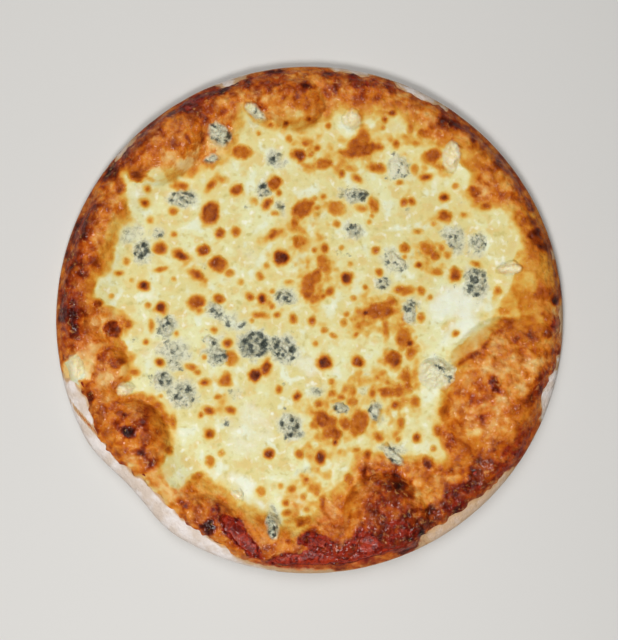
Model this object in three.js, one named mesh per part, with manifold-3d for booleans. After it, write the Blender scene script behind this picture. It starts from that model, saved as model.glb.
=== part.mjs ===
// A whole, uncut cheese pizza about 300 mm across, lying on its flat underside.
// Millimetres, +Z up, origin at the middle of the underside.
//
// It is built in the order it is made: a hand-stretched dough base with a raised, blistered rim, a thin
// layer of tomato sauce, a sheet of melted cheese that runs up over the rim, and on top of that lumps of
// blue cheese and of soft white cheese. The three layers share one polar grid of points, so each follows the
// one below it at an even gap, and a layer is the set of grid cells that it covers.

import * as THREE from 'three';
import { mergeVertices } from 'three/addons/utils/BufferGeometryUtils.js';
import Module from 'manifold-3d';

// Driving dimensions, in millimetres and degrees. Angles are measured from +X towards +Y.
const PIZZA_RADIUS = 150;
const BASE_THICKNESS = 4.5;
const RIM_HEIGHT = 14;
const RIM_CREST_RADIUS = 134;
const RIM_FOOT_RADIUS = 110;
const RIM_WAVES = [
  { turns: 3, share: 0.07, start: 1 },
  { turns: 7, share: 0.05, start: 0 },
]; // slow unevenness of the rim's height
const EDGE_HEIGHT = 5.5; // the widest level of the dough's rounded side
const UNDERSIDE_INSET = 9; // from the widest level in to the flat underside
const SAUCE_THICKNESS = 1;
const CHEESE_THICKNESS = 2.4;
const CHEESE_UNEVENNESS = 0.3;
const CHEESE_POOL_WIDTHS = { x: 69, y: 82 }; // from one pooled place to the next
const RIM_CHEESE_THICKNESS = 1.3;
const CHEESE_THINS_FROM = 90; // radius
const CHEESE_MARGIN = 2.3; // dough left bare outside the cheese
const SAUCE_MARGIN = 5.5; // dough left bare outside the sauce
const NARROWEST_STRIP = 1.5; // between the sauce's edge and the cheese's
const GAP = 0.3; // between pieces that touch
const SECTORS = 84;
const FIXED_RINGS = [0, 42, 72, 90, 102, 113, 124];

// Where an edge is drawn in from its circle: middle and half width of the stretch in degrees, and depth.
const DOUGH_DENTS = [{ at: 223, half: 16, depth: 5 }];
const CHEESE_SETBACKS = [
  { at: 203, half: 9, depth: 8.5 },
  { at: 215, half: 16, depth: 3 },
  { at: 230, half: 13, depth: 9.5 },
  { at: 243, half: 6, depth: 4.5 },
  { at: 301.5, half: 5, depth: 4.5 },
  { at: 309, half: 9, depth: 3.5 },
  { at: 319, half: 5, depth: 4 },
  { at: 343.5, half: 5.5, depth: 5 },
  { at: 64, half: 6, depth: 2.5 },
  { at: 109, half: 5, depth: 2.5 },
];
// Where the cheese has drawn back further and leaves the sauce bare.
const BARE_SAUCE = [
  { at: 269, half: 11, depth: 9 },
  { at: 284, half: 9, depth: 8 },
];
// A tear in the cheese, as a span of degrees between the two rings inside the sauce's edge.
const TEAR = { from: 248.5, to: 257.2 };

// Dough blisters that stand up under the topping: middle, half sizes along and across, turn, top level.
const BLISTERS = [
  { x: 108, y: -38, along: 41, across: 30, turn: 71, top: 18 }, // the large one on the right
  { x: 45, y: -117, along: 25, across: 27, turn: 21, top: 17.5 }, // bottom
  { x: -100, y: -67, along: 22, across: 16, turn: 120, top: 16 }, // lower left
  { x: -86, y: 101, along: 26, across: 19, turn: 40, top: 18 }, // upper left
  { x: -8, y: 127, along: 17, across: 15, turn: 0, top: 18 }, // top
  { x: -58, y: -116, along: 17, across: 11, turn: 150, top: 15.5 },
  { x: -139, y: 3, along: 14, across: 8, turn: 90, top: 16.5 },
  { x: -125, y: 51, along: 25, across: 10, turn: 68, top: 16.5 },
  { x: 136, y: -3, along: 12, across: 9, turn: 90, top: 16 },
  { x: 101, y: 93, along: 30, across: 10, turn: -43, top: 16.5 },
  { x: -117, y: -27, along: 11, across: 10, turn: 0, top: 10 },
];

// Lumps of cheese on top: x, y, length, width, turn, height.
const BLUE_CHEESE = [
  [-53, 109, 17, 14, -35, 3],
  [-58, 95, 11, 7, 15, 2.4],
  [-32, 122, 16, 8, -38, 2.4],
  [-75, 72, 15, 12, 10, 3.2],
  [-99, 41, 9, 11, 0, 2.8],
  [-27, 77, 8, 11, 0, 2.4],
  [-15, 13, 11, 8, 0, 2.6],
  [-84, -3, 10, 12, 0, 2.8],
  [-57, 7, 9, 8, 0, 2.2],
  [52, 90, 16, 17, 0, 3.4],
  [27, 73, 17, 10, 0, 3],
  [26, 53, 9, 11, 0, 2.6],
  [84, 48, 11, 13, 0, 2.2],
  [100, 46, 8, 13, 0, 2.4],
  [98, 23, 11, 17, 0, 3],
  [51, 35, 14, 9, -40, 2.2],
  [43, 22, 8, 8, 0, 2.4],
  [59, 4, 11, 15, 0, 2.8],
  [-33, -15, 16, 16, 0, 3.6],
  [-16, -17, 15, 14, 0, 3.4],
  [-54, -22, 15, 10, 0, 2.8],
  [-59, -12, 9, 7, 0, 2.2],
  [-86, -35, 12, 9, 0, 2.8],
  [-74, -46, 14, 15, 20, 3.2],
  [-11, -63, 12, 15, 0, 3.2],
  [-22, -121, 9, 17, 10, 3],
  [19, -52, 12, 8, -15, 2.6],
  [38, -54, 9, 13, 0, 2.6],
  [49, -80, 20, 8, -45, 2.8],
  [75, -31, 25, 22, 0, 3.4],
];
const SOFT_CHEESE = [
  [83, 96, 12, 20, 0, 3],
  [-137, -28, 11, 18, 0, 2.6],
  [-109, -41, 11, 9, 0, 3],
  [25, 118, 12, 12, 0, 2.4],
  [117, 30, 15, 8, 0, 2.4],
  [-43, -103, 9, 7, -30, 2.4],
];
// Crumbs of blue cheese under berry size, melted into the sheet: x, y, width.
const SMALL_CRUMBS = [
  [-20, 95, 4.7],
  [-88, 50, 4.1],
  [-17, 67, 4.1],
  [4, 62, 4.1],
  [-10, 46, 3.6],
  [-80, -18, 4.1],
  [-81, -26, 4.1],
  [-97, -34, 4.7],
  [-1, -89, 4.1],
  [5, -42, 4.1],
  [47, -18, 3.4],
  [17, 40, 3.4],
  [7, 17, 3.6],
  [-103, -11, 3.4],
  [-62, 31, 3.6],
  [64, 39, 3.4],
];
const SMALL_CRUMB_HEIGHT = 1.6;
const SMALL_CRUMB_SUNK = 0.9;
const SMALL_CRUMB_ROUNDNESS = 0.85; // width across against width along
const SMALL_CRUMB_TURN = 40; // from each to the next

const radians = THREE.MathUtils.degToRad;
const clamp = THREE.MathUtils.clamp;

// Falls smoothly from 1 at the middle of a stretch of rim to 0 at its ends.
function bell(angle, stretch) {
  const ahead = THREE.MathUtils.euclideanModulo(THREE.MathUtils.radToDeg(angle) - stretch.at, 360);
  const off = Math.min(ahead, 360 - ahead);
  return off < stretch.half ? 0.5 + 0.5 * Math.cos((Math.PI * off) / stretch.half) : 0;
}

function drawnIn(angle, stretches) {
  return stretches.reduce((sum, stretch) => sum + stretch.depth * bell(angle, stretch), 0);
}

const doughEdge = (angle) => PIZZA_RADIUS - drawnIn(angle, DOUGH_DENTS);
const sauceEdge = (angle) => doughEdge(angle) - SAUCE_MARGIN - drawnIn(angle, CHEESE_SETBACKS);
const cheeseEdge = (angle) =>
  doughEdge(angle) - CHEESE_MARGIN - drawnIn(angle, CHEESE_SETBACKS) - drawnIn(angle, BARE_SAUCE);

// Level of the plain rim, before its blisters: flat in the middle, a smooth rise to the crest, and a
// quarter ellipse down to the widest level of the side.
function plainRim(radius, angle) {
  const r = radius + PIZZA_RADIUS - doughEdge(angle);
  const wave = RIM_WAVES.reduce((sum, w) => sum + w.share * Math.sin(w.turns * angle + w.start), 0);
  const crest = RIM_HEIGHT * (1 + wave);
  if (r <= RIM_CREST_RADIUS) {
    const rise = THREE.MathUtils.smoothstep(r, RIM_FOOT_RADIUS, RIM_CREST_RADIUS);
    return BASE_THICKNESS + (crest - BASE_THICKNESS) * rise;
  }
  return EDGE_HEIGHT + (crest - EDGE_HEIGHT) * outerFall(r);
}

// 1 up to the crest, falling as a quarter ellipse to 0 at the edge.
function outerFall(r) {
  const out = clamp((r - RIM_CREST_RADIUS) / (PIZZA_RADIUS - RIM_CREST_RADIUS), 0, 1);
  return Math.sqrt(1 - out * out);
}

// How much of a blister's dome stands at a point, from 0 at its edge to 1 at its top. The power makes it
// rounder shouldered than a parabola.
const DOME_POWER = 0.75;

function blisterShare(x, y, blister) {
  const turn = radians(blister.turn);
  const dx = x - blister.x;
  const dy = y - blister.y;
  const u = (dx * Math.cos(turn) + dy * Math.sin(turn)) / blister.along;
  const v = (dy * Math.cos(turn) - dx * Math.sin(turn)) / blister.across;
  return Math.max(0, 1 - u * u - v * v) ** DOME_POWER;
}

function doughTop(x, y) {
  const radius = Math.hypot(x, y);
  const angle = Math.atan2(y, x);
  const fall = outerFall(radius + PIZZA_RADIUS - doughEdge(angle));
  return BLISTERS.reduce((level, blister) => {
    const share = blisterShare(x, y, blister) * fall;
    return level + Math.max(0, blister.top - level) * share;
  }, plainRim(radius, angle));
}

// Uneven thickness of the melted cheese: it pools in the middle and thins out over the rim.
function cheeseThickness(x, y) {
  const radius = Math.hypot(x, y);
  const thin = THREE.MathUtils.smoothstep(radius, CHEESE_THINS_FROM, RIM_CREST_RADIUS);
  const across = Math.sin((2 * Math.PI * x) / CHEESE_POOL_WIDTHS.x);
  const along = Math.cos((2 * Math.PI * y) / CHEESE_POOL_WIDTHS.y);
  const pooled = CHEESE_THICKNESS + CHEESE_UNEVENNESS * across * along;
  return THREE.MathUtils.lerp(pooled, RIM_CHEESE_THICKNESS, thin);
}

// The shared grid. Two of its rings follow the edges of the sauce and the cheese.
const INNER_RING = FIXED_RINGS.length + 1;
const OUTER_RING = INNER_RING + 1;
const EDGE_RING = OUTER_RING + 2;

function ringRadii(angle) {
  const inner = Math.min(sauceEdge(angle), cheeseEdge(angle));
  const outer = Math.max(sauceEdge(angle), cheeseEdge(angle), inner + NARROWEST_STRIP);
  const edge = doughEdge(angle);
  const last = FIXED_RINGS[FIXED_RINGS.length - 1];
  return [...FIXED_RINGS, (last + inner) / 2, inner, outer, (outer + edge) / 2, edge];
}

const columnAngle = (column) => ((column % SECTORS) / SECTORS) * 2 * Math.PI;
const cheeseLeads = (column) => {
  const middle = columnAngle(column) + Math.PI / SECTORS;
  return cheeseEdge(middle) > sauceEdge(middle);
};

function gridPoint(ring, column) {
  const angle = columnAngle(column);
  const radius = ringRadii(angle)[ring];
  return new THREE.Vector3(radius * Math.cos(angle), radius * Math.sin(angle), 0);
}

// A cell is named by its inner ring and its first column.
const sauceCovers = (ring, column) => ring < INNER_RING || (ring === INNER_RING && !cheeseLeads(column));
const torn = (ring, column) => {
  const middle = THREE.MathUtils.radToDeg(columnAngle(column)) + 180 / SECTORS;
  return ring === INNER_RING - 1 && middle > TEAR.from && middle < TEAR.to;
};
const cheeseCovers = (ring, column) =>
  (ring < INNER_RING && !torn(ring, column)) || (ring === INNER_RING && cheeseLeads(column));

// The sauce lies under a grid point if a sauce cell touches it.
const sauceAt = (ring, column) =>
  ring <= INNER_RING ||
  sauceCovers(ring - 1, column) ||
  sauceCovers(ring - 1, (column + SECTORS - 1) % SECTORS);

const doughLevel = (ring, column) => {
  const p = gridPoint(ring, column);
  return doughTop(p.x, p.y);
};
const sauceTopLevel = (ring, column) => doughLevel(ring, column) + GAP + SAUCE_THICKNESS;
const cheeseBottomLevel = (ring, column) =>
  (sauceAt(ring, column) ? sauceTopLevel(ring, column) : doughLevel(ring, column)) + GAP;
const cheeseTopLevel = (ring, column) => {
  const p = gridPoint(ring, column);
  return cheeseBottomLevel(ring, column) + cheeseThickness(p.x, p.y);
};

// Gathers triangles, leaves out those with no area, and turns them into a geometry.
class TriangleList {
  constructor() {
    this.numbers = [];
  }
  triangle(a, b, c) {
    if (a.distanceTo(b) * b.distanceTo(c) * c.distanceTo(a) > 1e-9) {
      [a, b, c].forEach((p) => this.numbers.push(p.x, p.y, p.z));
    }
  }
  quad(a, b, c, d) {
    this.triangle(a, b, c);
    this.triangle(a, c, d);
  }
  geometry() {
    const made = new THREE.BufferGeometry();
    made.setAttribute('position', new THREE.Float32BufferAttribute(this.numbers, 3));
    made.computeVertexNormals();
    return made;
  }
}

// A closed sheet over the grid cells that it covers, between two levels.
function sheetGeometry(covers, lastRing, bottomLevel, topLevel) {
  const at = (ring, column, level) => gridPoint(ring, column).setZ(level(ring, column % SECTORS));
  const list = new TriangleList();
  const inside = (ring, column) =>
    ring >= 0 && ring < lastRing && covers(ring, (column + SECTORS) % SECTORS);
  for (let ring = 0; ring < lastRing; ring += 1) {
    for (let column = 0; column < SECTORS; column += 1) {
      if (!inside(ring, column)) continue;
      // Corners counter-clockwise from above, starting at the inner ring.
      const corners = [
        [ring, column],
        [ring + 1, column],
        [ring + 1, column + 1],
        [ring, column + 1],
      ];
      const top = corners.map(([r, c]) => at(r, c, topLevel));
      const bottom = corners.map(([r, c]) => at(r, c, bottomLevel));
      list.quad(...top);
      // Split along the same diagonal as the top, so that both faces bend alike.
      list.triangle(bottom[0], bottom[2], bottom[1]);
      list.triangle(bottom[0], bottom[3], bottom[2]);
      const neighbours = [
        [ring, column - 1],
        [ring + 1, column],
        [ring, column + 1],
        [ring - 1, column],
      ];
      neighbours.forEach(([r, c], side) => {
        if (inside(r, c) || (side === 3 && ring === 0)) return;
        const next = (side + 1) % 4;
        list.quad(bottom[side], bottom[next], top[next], top[side]);
      });
    }
  }
  return list.geometry();
}

// The dough is closed below: its top is the whole grid, and its side curves in to the flat underside.
const SIDE_STEPS = 2;

function doughGeometry() {
  const list = new TriangleList();
  const ringPoint = (ring, column) => gridPoint(ring, column).setZ(doughLevel(ring, column % SECTORS));
  const sidePoint = (step, column) => {
    const turn = (step / SIDE_STEPS) * (Math.PI / 2);
    const angle = columnAngle(column);
    const radius = doughEdge(angle) - UNDERSIDE_INSET * (1 - Math.cos(turn));
    const level = EDGE_HEIGHT * (1 - Math.sin(turn));
    return new THREE.Vector3(radius * Math.cos(angle), radius * Math.sin(angle), level);
  };
  const centre = new THREE.Vector3(0, 0, 0);
  for (let column = 0; column < SECTORS; column += 1) {
    for (let ring = 0; ring < EDGE_RING; ring += 1) {
      list.quad(
        ringPoint(ring, column),
        ringPoint(ring + 1, column),
        ringPoint(ring + 1, column + 1),
        ringPoint(ring, column + 1),
      );
    }
    for (let step = 0; step < SIDE_STEPS; step += 1) {
      list.quad(
        sidePoint(step, column),
        sidePoint(step + 1, column),
        sidePoint(step + 1, column + 1),
        sidePoint(step, column + 1),
      );
    }
    list.triangle(centre, sidePoint(SIDE_STEPS, column + 1), sidePoint(SIDE_STEPS, column));
  }
  return list.geometry();
}

// Numbers from 0 to 1 that are the same on every run.
function seededRandom(seed) {
  let state = seed >>> 0;
  return () => {
    state = (Math.imul(state ^ (state >>> 15), 2246822519) + 3266489917) >>> 0;
    return ((state ^ (state >>> 13)) >>> 0) / 4294967296;
  };
}

// A rough lump standing on a surface: a flat foot that follows it, a wider waist, a shoulder and a peak.
const LUMP_SIDES = 9;
const LUMP_RINGS = [
  { spread: 0.84, rise: 0 },
  { spread: 1, rise: 0.38 },
  { spread: 0.6, rise: 0.86 },
];
const RING_TWIST = 0.3; // of a side, from each ring to the next
const ROUGHNESS_ACROSS = 0.16;
const ROUGHNESS_UP = 0.2;
const PEAK_OFFSET = 0.05;
const BLUE_SEED = 100;
const SOFT_SEED = 200;
const SMALL_CRUMB_SEED = 300;

// The foot is flat between its corners. This is how far it must rise so that no part of it dips into the
// surface, measured at points spread over it.
const FOOT_STEPS = 5;

function clearance(foot, corners, surface) {
  let deepest = 0;
  corners.forEach((corner, side) => {
    const next = corners[(side + 1) % corners.length];
    for (let out = 1; out <= FOOT_STEPS; out += 1) {
      for (let across = 0; across <= out; across += 1) {
        const edgePoint = corner.clone().lerp(next, across / out);
        const p = foot.clone().lerp(edgePoint, out / FOOT_STEPS);
        deepest = Math.max(deepest, surface(p.x, p.y) - p.z);
      }
    }
  });
  return deepest;
}

function lumpGeometry(lump, seed, surface) {
  const [x, y, length, width, turnDegrees, height] = lump;
  const random = seededRandom(seed);
  const turn = radians(turnDegrees);
  const place = (u, v, rise) => {
    const px = x + u * Math.cos(turn) - v * Math.sin(turn);
    const py = y + u * Math.sin(turn) + v * Math.cos(turn);
    return new THREE.Vector3(px, py, surface(px, py) + rise);
  };
  const uneven = Array.from({ length: LUMP_SIDES }, () => 1 - ROUGHNESS_ACROSS * random());
  const rings = LUMP_RINGS.map(({ spread, rise }, level) =>
    uneven.map((share, side) => {
      const angle = ((side + RING_TWIST * level) / LUMP_SIDES) * 2 * Math.PI;
      const reach = share * spread;
      const above = height * rise * (1 + ROUGHNESS_UP * (random() - 0.5));
      return place((length / 2) * reach * Math.cos(angle), (width / 2) * reach * Math.sin(angle), above);
    }),
  );
  const peak = place(length * PEAK_OFFSET * random(), width * PEAK_OFFSET * random(), height);
  const foot = place(0, 0, 0);
  const lift = clearance(foot, rings[0], surface);
  [peak, foot, ...rings.flat()].forEach((point) => {
    point.z += lift;
  });
  const list = new TriangleList();
  for (let side = 0; side < LUMP_SIDES; side += 1) {
    const next = (side + 1) % LUMP_SIDES;
    list.triangle(foot, rings[0][next], rings[0][side]);
    for (let level = 0; level + 1 < rings.length; level += 1) {
      list.quad(rings[level][side], rings[level][next], rings[level + 1][next], rings[level + 1][side]);
    }
    list.triangle(peak, rings[2][side], rings[2][next]);
  }
  return list.geometry();
}

// Boolean joining of closed geometries.
const wasm = await Module();
wasm.setup();

function toSolid(geometry) {
  const bare = new THREE.BufferGeometry().setAttribute('position', geometry.getAttribute('position'));
  const merged = mergeVertices(bare, 1e-4);
  return new wasm.Manifold(
    new wasm.Mesh({
      numProp: 3,
      vertProperties: merged.attributes.position.array,
      triVerts: new Uint32Array(merged.index.array),
    }),
  );
}

function toGeometry(solid) {
  const mesh = solid.getMesh();
  const made = new THREE.BufferGeometry();
  made.setAttribute('position', new THREE.BufferAttribute(mesh.vertProperties, 3));
  made.setIndex(new THREE.BufferAttribute(mesh.triVerts, 1));
  made.computeVertexNormals();
  return made;
}

// The level of the cheese's upper face at a point, measured on its triangles, or the level that it would have
// where there is none.
function levelOn(geometry) {
  const target = new THREE.Mesh(geometry);
  const down = new THREE.Vector3(0, 0, -1);
  return (x, y) => {
    const above = new THREE.Vector3(x, y, PIZZA_RADIUS);
    const [hit] = new THREE.Raycaster(above, down).intersectObject(target);
    return hit ? hit.point.z : doughTop(x, y) + SAUCE_THICKNESS + cheeseThickness(x, y) + 2 * GAP;
  };
}

// Materials: baked dough, tomato sauce, and the three cheeses that can be told apart.
const doughMaterial = new THREE.MeshStandardMaterial({ color: 0xd4b58a, roughness: 0.85, metalness: 0 });
const sauceMaterial = new THREE.MeshStandardMaterial({ color: 0x8c2a1c, roughness: 0.35, metalness: 0 });
const meltedMaterial = new THREE.MeshStandardMaterial({ color: 0xe3dba1, roughness: 0.35, metalness: 0 });
const blueMaterial = new THREE.MeshStandardMaterial({ color: 0xa4a68d, roughness: 0.6, metalness: 0 });
const softMaterial = new THREE.MeshStandardMaterial({ color: 0xe6d7a6, roughness: 0.5, metalness: 0 });

function namedMesh(name, geometry, material) {
  const mesh = new THREE.Mesh(geometry, material);
  mesh.name = name;
  return mesh;
}

const pizza = new THREE.Group();
pizza.name = 'pizza';

pizza.add(namedMesh('dough_crust', doughGeometry(), doughMaterial));

const sauceSheet = sheetGeometry(
  sauceCovers,
  OUTER_RING,
  (ring, column) => doughLevel(ring, column) + GAP,
  sauceTopLevel,
);
pizza.add(namedMesh('tomato_sauce', sauceSheet, sauceMaterial));

const cheeseSheet = sheetGeometry(cheeseCovers, OUTER_RING, cheeseBottomLevel, cheeseTopLevel);
const cheeseLevel = levelOn(cheeseSheet);
const crumbSolids = SMALL_CRUMBS.map(([x, y, width], index) => {
  const sunk = (px, py) => cheeseLevel(px, py) - SMALL_CRUMB_SUNK;
  const across = width * SMALL_CRUMB_ROUNDNESS;
  const height = SMALL_CRUMB_HEIGHT + SMALL_CRUMB_SUNK;
  const lump = [x, y, width, across, SMALL_CRUMB_TURN * index, height];
  return toSolid(lumpGeometry(lump, SMALL_CRUMB_SEED + index, sunk));
});
const crumbedCheese = crumbSolids.reduce((solid, crumb) => solid.add(crumb), toSolid(cheeseSheet));
pizza.add(namedMesh('melted_cheese', toGeometry(crumbedCheese), meltedMaterial));

const resting = (x, y) => cheeseLevel(x, y) + GAP;
BLUE_CHEESE.forEach((lump, index) => {
  const name = `blue_cheese_${String(index + 1).padStart(2, '0')}`;
  pizza.add(namedMesh(name, lumpGeometry(lump, BLUE_SEED + index, resting), blueMaterial));
});
SOFT_CHEESE.forEach((lump, index) => {
  const name = `soft_cheese_${index + 1}`;
  pizza.add(namedMesh(name, lumpGeometry(lump, SOFT_SEED + index, resting), softMaterial));
});

export default pizza;
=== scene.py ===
"""A whole five cheese pizza, 300 mm across, seen from straight above.

It is built in the order it is made: dough, tomato sauce, melted cheese, then lumps of blue cheese and of
soft cheese. Lengths are in millimetres, and points are scaled to metres where a mesh is made.
"""

import math

import bpy
import numpy as np
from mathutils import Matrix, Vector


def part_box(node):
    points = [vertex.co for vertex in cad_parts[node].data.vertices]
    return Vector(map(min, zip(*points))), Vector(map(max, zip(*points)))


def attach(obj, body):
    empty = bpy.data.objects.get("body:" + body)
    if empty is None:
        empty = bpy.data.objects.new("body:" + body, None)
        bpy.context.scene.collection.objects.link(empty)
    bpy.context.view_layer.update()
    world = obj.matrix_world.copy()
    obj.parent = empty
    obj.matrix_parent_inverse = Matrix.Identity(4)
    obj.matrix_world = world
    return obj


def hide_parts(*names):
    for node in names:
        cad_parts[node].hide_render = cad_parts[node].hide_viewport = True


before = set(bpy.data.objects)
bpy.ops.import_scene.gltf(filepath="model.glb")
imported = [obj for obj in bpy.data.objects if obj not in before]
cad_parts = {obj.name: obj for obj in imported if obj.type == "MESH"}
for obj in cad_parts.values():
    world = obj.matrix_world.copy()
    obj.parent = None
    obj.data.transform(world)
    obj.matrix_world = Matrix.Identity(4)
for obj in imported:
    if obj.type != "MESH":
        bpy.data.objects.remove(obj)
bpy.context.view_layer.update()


# ---------------------------------------------------------------------------------------------------
# Dough: wheat dough, stretched by hand with a raised rim and baked on a floury oven floor. Its side and
# underside are pale and floury, and its edge browns with the rim. It is one closed body of rings about
# the middle, and its levels are the CAD model's, in millimetres.
# ---------------------------------------------------------------------------------------------------

MM = 0.001

dough_low, dough_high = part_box("dough_crust")
PIZZA_RADIUS = (dough_high.x - dough_low.x) / 2 / MM
BASE_THICKNESS = 4.5
RIM_HEIGHT = 14
CREST_RADIUS = 134
FOOT_RADIUS = 110
EDGE_HEIGHT = 5.5
FOOT_INSET = 9
SIDE_HEIGHT = 9

# Where an edge is drawn in from its circle: angle, half width in degrees, and depth.
DOUGH_DENTS = [(223, 16, 5)]

# Dough blisters under the topping: x, y, length, width, turn, top level.
BLISTERS = [
    (108, -38, 82, 60, 71, 18),
    (45, -117, 50, 54, 21, 17.5),
    (-100, -67, 44, 32, 120, 16),
    (-86, 101, 52, 38, 40, 18),
    (-8, 127, 34, 30, 0, 18),
    (-58, -116, 34, 22, 150, 15.5),
    (-139, 3, 28, 16, 90, 16.5),
    (-125, 51, 50, 20, 68, 16.5),
    (136, -3, 24, 18, 90, 16),
    (101, 93, 60, 20, -43, 16.5),
    (-117, -27, 22, 20, 0, 10),
]


def rise(value, low, high):
    """0 below low, 1 above high and smooth between them."""
    t = np.clip((value - low) / (high - low), 0, 1)
    return t * t * (3 - 2 * t)


def lumps(x, y, cell, seed):
    """Soft random field from about -1 to 1, with lumps `cell` mm wide."""
    table = np.random.default_rng(seed).uniform(-1, 1, (64, 64))
    turn = 2.4 * seed
    u = (x * math.cos(turn) + y * math.sin(turn)) / cell + 3.7 * seed
    v = (y * math.cos(turn) - x * math.sin(turn)) / cell + 5.3 * seed
    i, j = np.floor(u).astype(int), np.floor(v).astype(int)
    f, g = rise(u - i, 0, 1), rise(v - j, 0, 1)
    low = table[i % 64, j % 64] * (1 - f) + table[(i + 1) % 64, j % 64] * f
    high = table[i % 64, (j + 1) % 64] * (1 - f) + table[(i + 1) % 64, (j + 1) % 64] * f
    return low * (1 - g) + high * g


def inside(x, y, mark):
    """How far in mm each point is inside the ellipse of a mark, whose row starts with
    x, y, length, width and turn in degrees."""
    turn = math.radians(mark[4])
    dx, dy = x - mark[0], y - mark[1]
    u = (dx * math.cos(turn) + dy * math.sin(turn)) / (mark[2] / 2)
    v = (dy * math.cos(turn) - dx * math.sin(turn)) / (mark[3] / 2)
    return (1 - np.sqrt(u * u + v * v)) * min(mark[2], mark[3]) / 2


def drawn_in(angle, stretches):
    """How far in mm an edge keeps inside its circle."""
    total = np.zeros_like(angle)
    for at, half, depth in stretches:
        off = np.abs((np.degrees(angle) - at + 180) % 360 - 180)
        total += np.where(off < half, depth * (0.5 + 0.5 * np.cos(math.pi * off / half)), 0)
    return total


def dough_edge(angle):
    return PIZZA_RADIUS - drawn_in(angle, DOUGH_DENTS)


def dough_top(x, y):
    angle = np.arctan2(y, x)
    r = np.hypot(x, y) + PIZZA_RADIUS - dough_edge(angle)
    crest = RIM_HEIGHT * (1 + 0.07 * np.sin(3 * angle + 1) + 0.05 * np.sin(7 * angle))
    fall = np.sqrt(1 - np.clip((r - CREST_RADIUS) / (PIZZA_RADIUS - CREST_RADIUS), 0, 1) ** 2)
    up = BASE_THICKNESS + (crest - BASE_THICKNESS) * rise(r, FOOT_RADIUS, CREST_RADIUS)
    level = np.where(r <= CREST_RADIUS, up, EDGE_HEIGHT + (crest - EDGE_HEIGHT) * fall)
    for blister in BLISTERS:
        q = 1 - inside(x, y, blister) / (min(blister[2], blister[3]) / 2)
        share = np.maximum(0, 1 - q * q) ** 0.75 * fall
        level = level + np.maximum(0, blister[5] - level) * share
    return level


SECTORS = 600
turns = np.arange(SECTORS) * 2 * math.pi / SECTORS


def ring_points(radius, level):
    return np.stack([radius * np.cos(turns), radius * np.sin(turns), level], axis=-1)


rings = []
shares = [0, .3, .5, .62, .7, .75] + list(np.linspace(.78, 1, 34))
for share in shares:
    radius = share * dough_edge(turns)
    x, y = radius * np.cos(turns), radius * np.sin(turns)
    wrinkles = 0.3 * lumps(x, y, 5, 21) + 0.15 * lumps(x, y, 2, 22)
    rings.append(ring_points(radius, dough_top(x, y) + wrinkles * rise(share, .75, .9)))
for turn in np.linspace(0, math.pi / 2, 11)[1:]:
    lumpy = 0.5 * lumps(120 * turns, 12 * turn + 0 * turns, 6, 23) * math.sin(2 * turn)
    radius = dough_edge(turns) - FOOT_INSET * (1 - math.cos(turn)) + lumpy
    rings.append(ring_points(radius, EDGE_HEIGHT * (1 - math.sin(turn)) + 0 * turns))
for share in (.8, .5, .25):
    rings.append(ring_points(share * dough_edge(turns), 0 * turns))
dough_points = np.concatenate(rings[1:] + [[rings[0][0], [0, 0, 0]]])
dough_faces = []
ring_starts = np.arange(len(rings) - 1) * SECTORS
here = np.arange(SECTORS)
after = (here + 1) % SECTORS
for start in ring_starts[:-1]:
    quads = [start + here, start + SECTORS + here, start + SECTORS + after, start + after]
    dough_faces += np.stack(quads, axis=1).tolist()
top_middle, low_middle = len(dough_points) - 2, len(dough_points) - 1
dough_faces += [[top_middle, int(n), int(m)] for n, m in zip(here, after)]
last = int(ring_starts[-1])
dough_faces += [[low_middle, last + int(m), last + int(n)] for n, m in zip(here, after)]

# Browning is how far the oven has taken each place, from 0 pale over 0.5 golden and 0.7 brown to
# 1 charred. It starts at this radius: angle in degrees and radius.
BROWNED_FROM = [
    (0, 108), (3, 114), (7, 119), (10, 121), (11.5, 129), (15, 131), (20, 132), (24, 132), (28, 133),
    (31, 127), (33, 121), (36, 117), (39, 118.5), (41, 126), (44, 133), (48, 134), (52, 130), (55, 124),
    (58, 123), (60, 127), (63, 127), (67, 130), (69, 126), (73, 126), (76, 121), (80, 123), (83, 122),
    (86, 117), (90, 113), (95, 112.5), (102, 115), (105, 121), (107, 127), (110, 120), (113, 112),
    (119, 105), (125, 108), (130, 110), (135, 119), (138, 128), (142, 138), (146, 131), (150, 122),
    (155, 123.5), (161, 123.5), (166, 121.5), (171, 129), (174, 127), (177, 112), (181, 104), (187, 112),
    (192, 107), (196, 107), (199, 117), (201, 119), (203, 109), (207, 101), (215, 101), (221, 106),
    (223, 111), (225, 123), (228, 124), (231, 122), (235, 112), (239, 113), (243, 109), (248, 113.5),
    (254, 117), (259, 118), (261.5, 123), (264, 120), (267, 121), (270, 118), (272, 112), (274, 105),
    (277, 102.5), (282, 97), (286, 88), (289, 81), (293, 83), (297, 88), (302, 95), (306, 100), (310, 104),
    (313, 114), (315, 113), (317, 103), (319, 97), (324, 93), (330, 89.5), (336, 87.7), (342, 89.5),
    (349, 91.6), (353, 100), (357, 104),
]

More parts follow.
